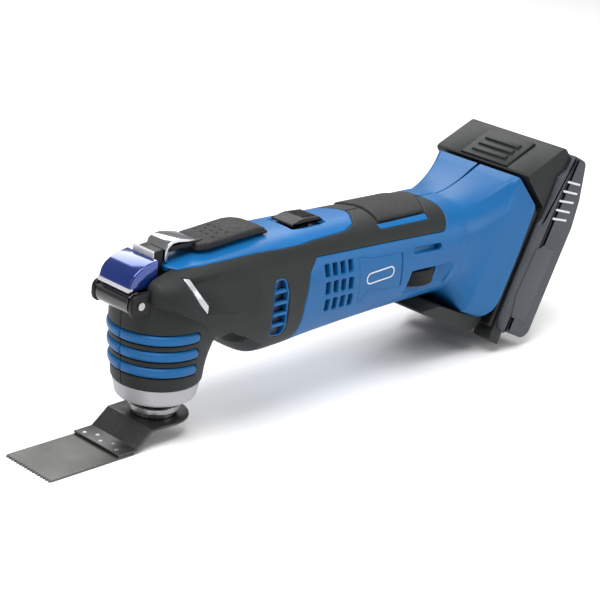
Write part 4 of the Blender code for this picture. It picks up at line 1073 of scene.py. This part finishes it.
def S_paddle(q):
    x, y = q[:, 0], q[:, 1]
    z = np.interp(x, [13.4, 17.0, 20.0, 30.0, 40.0, 47.0, 52.0, 57.0, 60.0, 62.5], [98.5, 99.0, 99.3, 99.9, 100.7, 101.1, 100.8, 99.6, 98.4, 97.0])
    z = z + 0.0 * y - 1.1 * (y / 11.6) ** 4
    return np.stack([x, y, z], 1)


PADDLE = [(13.4, -8.6), (19.0, -11.0), (48.0, -11.2), (59.5, -8.8), (62.3, -5.6), (62.3, 5.6), (59.5, 8.8), (48.0, 11.2), (19.0, 11.0), (13.4, 8.6)]
DIMPLES = [(25.5 + 4.6 * i, -6.6 + 4.4 * j + (2.2 if i % 2 else 0.0)) for i in range(3) for j in range(4)]


def dimple_f(P):
    return 1.05 - np.min([np.hypot(P[:, 0] - a, P[:, 1] - b) for a, b in DIMPLES], axis=0)


V_, T_ = patch(S_paddle, np.arange(13.0, 63.01, 0.5), np.arange(-12.0, 12.01, 0.5), lambda P: sd_round(PADDLE, 1.2, P[:, 0], P[:, 1]), roll=1.0, thick=2.7,
               feats=[(dimple_f, (0.0, 0.35, 0.8), lambda d, P: -0.75 * sstep(0.0, 0.8, d))], side=-1, up=True)
under = soft_prism(round_poly([(20.0, 95.7), (20.0, 99.0), (60.0, 97.6), (61.0, 95.9)], [0.6, 0.3, 0.3, 0.6], 3), -9.6, 9.6, 0.8, 3)
V, F, M = join([(V_, T_), under])
add_object("lever_paddle_fine", V, F, "rubber_rough", "lever", ("lever_paddle",), sharp=40)
V, F = lathe([(2.3, -11.5), (5.7, -11.5), (5.7, 11.5), (2.3, 11.5)], 72, (-26.5, 0, 76.8), "Y", True, 0.6)
add_object("lever_barrel_fine", V, F, "gun", "lever", ("lever_barrel",), sharp=40)
# silver strip at the hood's lip and the trim at its rear
V, F, M = join([soft_prism([(-31.3, 83.0), (-28.8, 83.4), (-28.4, 84.6), (-31.0, 84.9)], -11.6, 11.6, 0.4, 3),
                soft_prism([(-13.9, 83.2), (-12.9, 83.2), (-12.9, 99.2), (-13.9, 98.6)], -7.4, 7.4, 0.3, 3)])
add_object("lever_trim", V, F, "inlay", "lever", sharp=40)

# ====================================================================== switch
sw_parts = [soft_prism(round_poly([(79.4, 95.0), (80.2, 95.9), (86.6, 97.5), (89.0, 97.7), (100.2, 96.9), (102.0, 95.6), (102.0, 94.8)], [0.3, 1.0, 1.5, 1.5, 1.0, 0.8, 0.3], 5), -7.9, 7.9, 1.1, 5)]
for k in range(5):
    x_ = 90.2 + 1.9 * k
    sw_parts.append(soft_prism(round_poly([(x_ - 0.55, 96.4), (x_ - 0.35, 98.05 - 0.13 * k), (x_ + 0.35, 98.0 - 0.13 * k), (x_ + 0.55, 96.4)], 0.25, 3), -5.6, 5.6, 0.4, 3))
sw_parts.append(box_soft(88.0, 96.0, -4.0, 4.0, 89.0, 94.4, 0.4))
sw_parts.append(box_soft(90.0, 112.5, -3.4, 3.4, 89.05, 90.25, 0.3))
V, F, M = join(sw_parts)
add_object("slide_switch_fine", V, F, "black", "switch", ("slide_switch",), sharp=38)

# ====================================================================== speed wheel
def knurl(r, h, a, i):
    return r + (0.28 if (i % 4) < 2 and r > 14.6 else 0.0)


V, F = lathe([(2.2, -4.2), (14.9, -4.2), (15.15, -3.9), (15.15, 3.9), (14.9, 4.2), (2.2, 4.2)], 288, (163.5, -15.2, 57.8), "Z", True, 0.0, knurl)
add_object("speed_wheel_fine", V, F, "black", "dial", ("speed_wheel",), sharp=30)

# ====================================================================== nose ring, flange, bolt
def rounded_ring(prof, seg, mat, body, node, fr=0.6, name=None, closed=True):
    V, F = lathe(prof, seg, (0, 0, 0), "Z", closed, fr)
    return add_object(name or node + "_fine", V, F, mat, body, (node,), sharp=35)


rounded_ring([(15.0, 20.7), (19.1, 20.7), (20.3, 21.9), (22.0, 29.6), (22.0, 30.0), (15.0, 30.0)], 128, "silver", "tool", "nose_ring", 0.8)
rounded_ring([(3.2, 10.8), (11.4, 10.8), (11.4, 13.2), (12.6, 13.2), (13.1, 13.7), (13.1, 16.2), (12.4, 16.9), (8.6, 16.9), (8.6, 20.0), (3.2, 20.0)], 112, "steel",
             "spindle", "output_flange", 0.25)
V, F = lathe([(0, 5.4), (7.4, 5.4), (8.4, 6.4), (8.4, 8.0), (7.6, 8.8), (2.8, 8.8), (2.8, 79.4), (0, 79.4)], 72, (0, 0, 0), "Z", False, 0.3)
add_object("clamp_bolt_fine", V, F, "steel", "clamp", ("clamp_bolt",), sharp=35)
refined("blade_arm", "arm", "spindle", 0.35, 30, 3, 1.0)

# ====================================================================== battery pack
L_ = 108.0
pk_box = [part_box("battery_case_rear"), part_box("battery_case_front")]
slab_o = round_poly([(0, -4.0), (4, -8.0), (70, -8.0), (86, -4.8), (98, 0), (107.6, 4.0), (107.6, 15.0), (0, 15.0)], [5, 6, 8, 8, 6, 4, 0.4, 0.4], 6)
cov_o = round_poly([(-1.2, 15.35), (107.0, 15.35), (107.0, 17.4), (98.7, 18.4), (92.5, 23.8), (81.7, 22.9), (67.2, 22.9), (63.1, 25.2), (30.1, 25.2), (6.3, 24.6), (0.4, 21.9)], [0.5, 0.5, 1, 2, 2, 2, 1.5, 1.5, 2, 2, 2], 5)
mpk = lambda u, w, y: PK(u, w, y)
V, F = soft_prism(slab_o, -36.4, 36.4, 2.4, 6, mpk)
add_object("pack_slab", V, F, "pack_grey", "battery", ("battery_case_rear",), sharp=38)
V, F = soft_prism(cov_o, -36.3, 36.3, 1.6, 6, mpk)
add_object("pack_cover", V, F, "pack_grey", "battery", sharp=38)
refined("battery_case_front", "pack_block", "battery", 1.5, 25, 4, 1.0)
refined("battery_button", "pack_block", "button", 0.5, 25, 3, 1.0)
# white slit bars on both side faces and the label plate
for side, nm in ((-1, "right"), (1, "left")):
    parts = []
    for (a_, b_) in (((92.3, 15.4), (94.0, 2.9)), ((86.4, 16.2), (88.6, 2.0)), ((80.5, 16.0), (83.1, 2.0)), ((75.1, 15.8), (77.2, 2.0)), ((69.7, 15.6), (72.2, 2.0))):
        dx, dy = b_[0] - a_[0], b_[1] - a_[1]
        l_ = math.hypot(dx, dy)
        nx, ny = -dy / l_ * 0.62, dx / l_ * 0.62
        q = round_poly([(a_[0] + nx, a_[1] + ny), (b_[0] + nx, b_[1] + ny), (b_[0] - nx, b_[1] - ny), (a_[0] - nx, a_[1] - ny)], 0.5, 4)
        parts.append(soft_prism(q, -36.75, -36.0, 0.2, 3, mpk))
    V, F, M = join(parts)
    if side > 0:
        V = V * [1, -1, 1]
        F = [tuple(f[::-1]) for f in F]
    add_object("pack_bars_" + nm, V, F, "white", "battery", sharp=40)
    q = round_poly([(9.0, 16.4), (21.5, 20.4), (50.0, 19.0), (51.5, 16.0), (54.2, 12.8), (53.3, 7.7), (53.3, 2.2), (9.4, 2.4)], [1, 2, 1, 1, 1, 1, 1.5, 1.5], 5)
    V, F = soft_prism(q, -36.95, -35.9, 0.35, 4, mpk)
    if side > 0:
        V = V * [1, -1, 1]
        F = [tuple(f[::-1]) for f in F]
    add_object("pack_label_" + nm, V, F, "label", "battery", sharp=40)

# ====================================================================== carried-over CAD nodes
KEEP = {
    "blade_plate": "blade", "output_spindle": "steel", "clamp_spring_collar": "steel", "spindle_bearing_lower": "steel", "spindle_bearing_upper": "steel",
    "gearbox_housing": "alu", "swing_arm": "steel", "motor_can": "steel", "motor_end_cap": "black", "magnet_upper": "magnet", "magnet_lower": "magnet",
    "motor_bearing_front": "steel", "motor_bearing_rear": "steel", "motor_shaft": "steel", "armature_core": "magnet", "armature_winding": "copper",
    "commutator": "copper", "eccentric_bearing": "steel", "cooling_fan": "black", "brush_left": "magnet", "brush_right": "magnet", "switch_module": "black",
    "speed_potentiometer": "board", "control_board": "board", "heat_sink": "alu", "battery_latch": "black", "terminal_block": "brass", "hinge_pin": "steel",
    "slide_switch": "black", "lever_neck": "black"}
for k in range(1, 6):
    KEEP["battery_cell_%d" % k] = "cell"
    KEEP["housing_screw_%d" % k] = "steel"
for n_, o_ in NODES.items():
    key = KEEP.get(n_, "black")
    if not o_.material_slots:
        o_.data.materials.append(MAT[key])
    for sl in o_.material_slots:
        sl.material = MAT[key]


# ====================================================================== camera, light, floor
AZ, EL, ROLL, FPX, TX, TY, DD = -47.17, 20.89, 5.43, 1888.15, 152.22, 429.32, 942.85
a_, e_, r_ = (math.radians(v) for v in (AZ, EL, ROLL))
back_ = np.array([math.sin(a_) * math.cos(e_), -math.cos(a_) * math.cos(e_), math.sin(e_)])
right_ = np.array([math.cos(a_), math.sin(a_), 0.0])
up_ = np.cross(back_, right_)
R0 = np.array([right_, up_, back_])
RC = np.array([[math.cos(r_), math.sin(r_), 0], [-math.sin(r_), math.cos(r_), 0], [0, 0, 1]]) @ R0
tt = np.array([(TX - 300) / FPX * DD, -(TY - 300) / FPX * DD, -DD])
CC = -RC.T @ tt
cam = bpy.data.cameras.new("camera")
cam.sensor_fit = "HORIZONTAL"
cam.sensor_width = 36.0
cam.lens = FPX / 600.0 * 36.0
cam.clip_start = 0.05
cam.clip_end = 50.0
co = bpy.data.objects.new("camera", cam)
SC.objects.link(co)
mw_ = Matrix.Identity(4)
for i in range(3):
    for j in range(3):
        mw_[i][j] = RC.T[i][j]
mw_[0][3], mw_[1][3], mw_[2][3] = (CC[0] - OX) / 1000.0, CC[1] / 1000.0, CC[2] / 1000.0
co.matrix_world = mw_
bpy.context.scene.camera = co


def area(name, loc, target, size, power, col=(1, 1, 1)):
    l = bpy.data.lights.new(name, "AREA")
    l.shape = "RECTANGLE"
    l.size, l.size_y = size
    l.energy = power
    l.color = col
    o = bpy.data.objects.new(name, l)
    SC.objects.link(o)
    o.location = loc
    d = Vector(target) - Vector(loc)
    o.rotation_euler = d.to_track_quat("-Z", "Y").to_euler()
    return o


area("key_top", (-0.35, -0.15, 1.1), (0, 0, 0.05), (0.8, 0.8), 17.5)
area("left_box", (-1.2, 0.1, 0.55), (0, 0, 0.06), (0.8, 0.8), 2.2)
area("right_fill", (0.75, -1.1, 0.55), (0.05, 0, 0.06), (0.8, 0.6), 7.0)
area("rear_top", (0.5, 0.8, 0.9), (0.05, 0, 0.05), (1.0, 0.6), 9.0)
w = bpy.data.worlds.new("world")
w.use_nodes = True
w.node_tree.nodes["Background"].inputs["Color"].default_value = (1, 1, 1, 1)
w.node_tree.nodes["Background"].inputs["Strength"].default_value = 0.33
bpy.context.scene.world = w
bpy.context.scene.view_settings.view_transform = "Standard"

fm, fnt, fb = new_mat("mat_floor")
fb.inputs["Roughness"].default_value = 0.7
ftc = fnt.nodes.new("ShaderNodeTexCoord")
fno = fnt.nodes.new("ShaderNodeTexNoise")
fno.inputs["Scale"].default_value = 3.0
fnt.links.new(ftc.outputs["Object"], fno.inputs["Vector"])
frm = fnt.nodes.new("ShaderNodeValToRGB")
frm.color_ramp.elements[0].color = (0.90, 0.90, 0.905, 1)
frm.color_ramp.elements[1].color = (0.93, 0.93, 0.93, 1)
fnt.links.new(fno.outputs["Fac"], frm.inputs["Fac"])
fnt.links.new(frm.outputs["Color"], fb.inputs["Base Color"])
fme = bpy.data.meshes.new("floor")
fbm = bmesh.new()
bmesh.ops.create_grid(fbm, x_segments=8, y_segments=8, size=6.0)
fbm.to_mesh(fme)
fbm.free()
fo = bpy.data.objects.new("floor", fme)
fo.location = (0, 0, -0.0002)
SC.objects.link(fo)
fme.materials.append(fm)
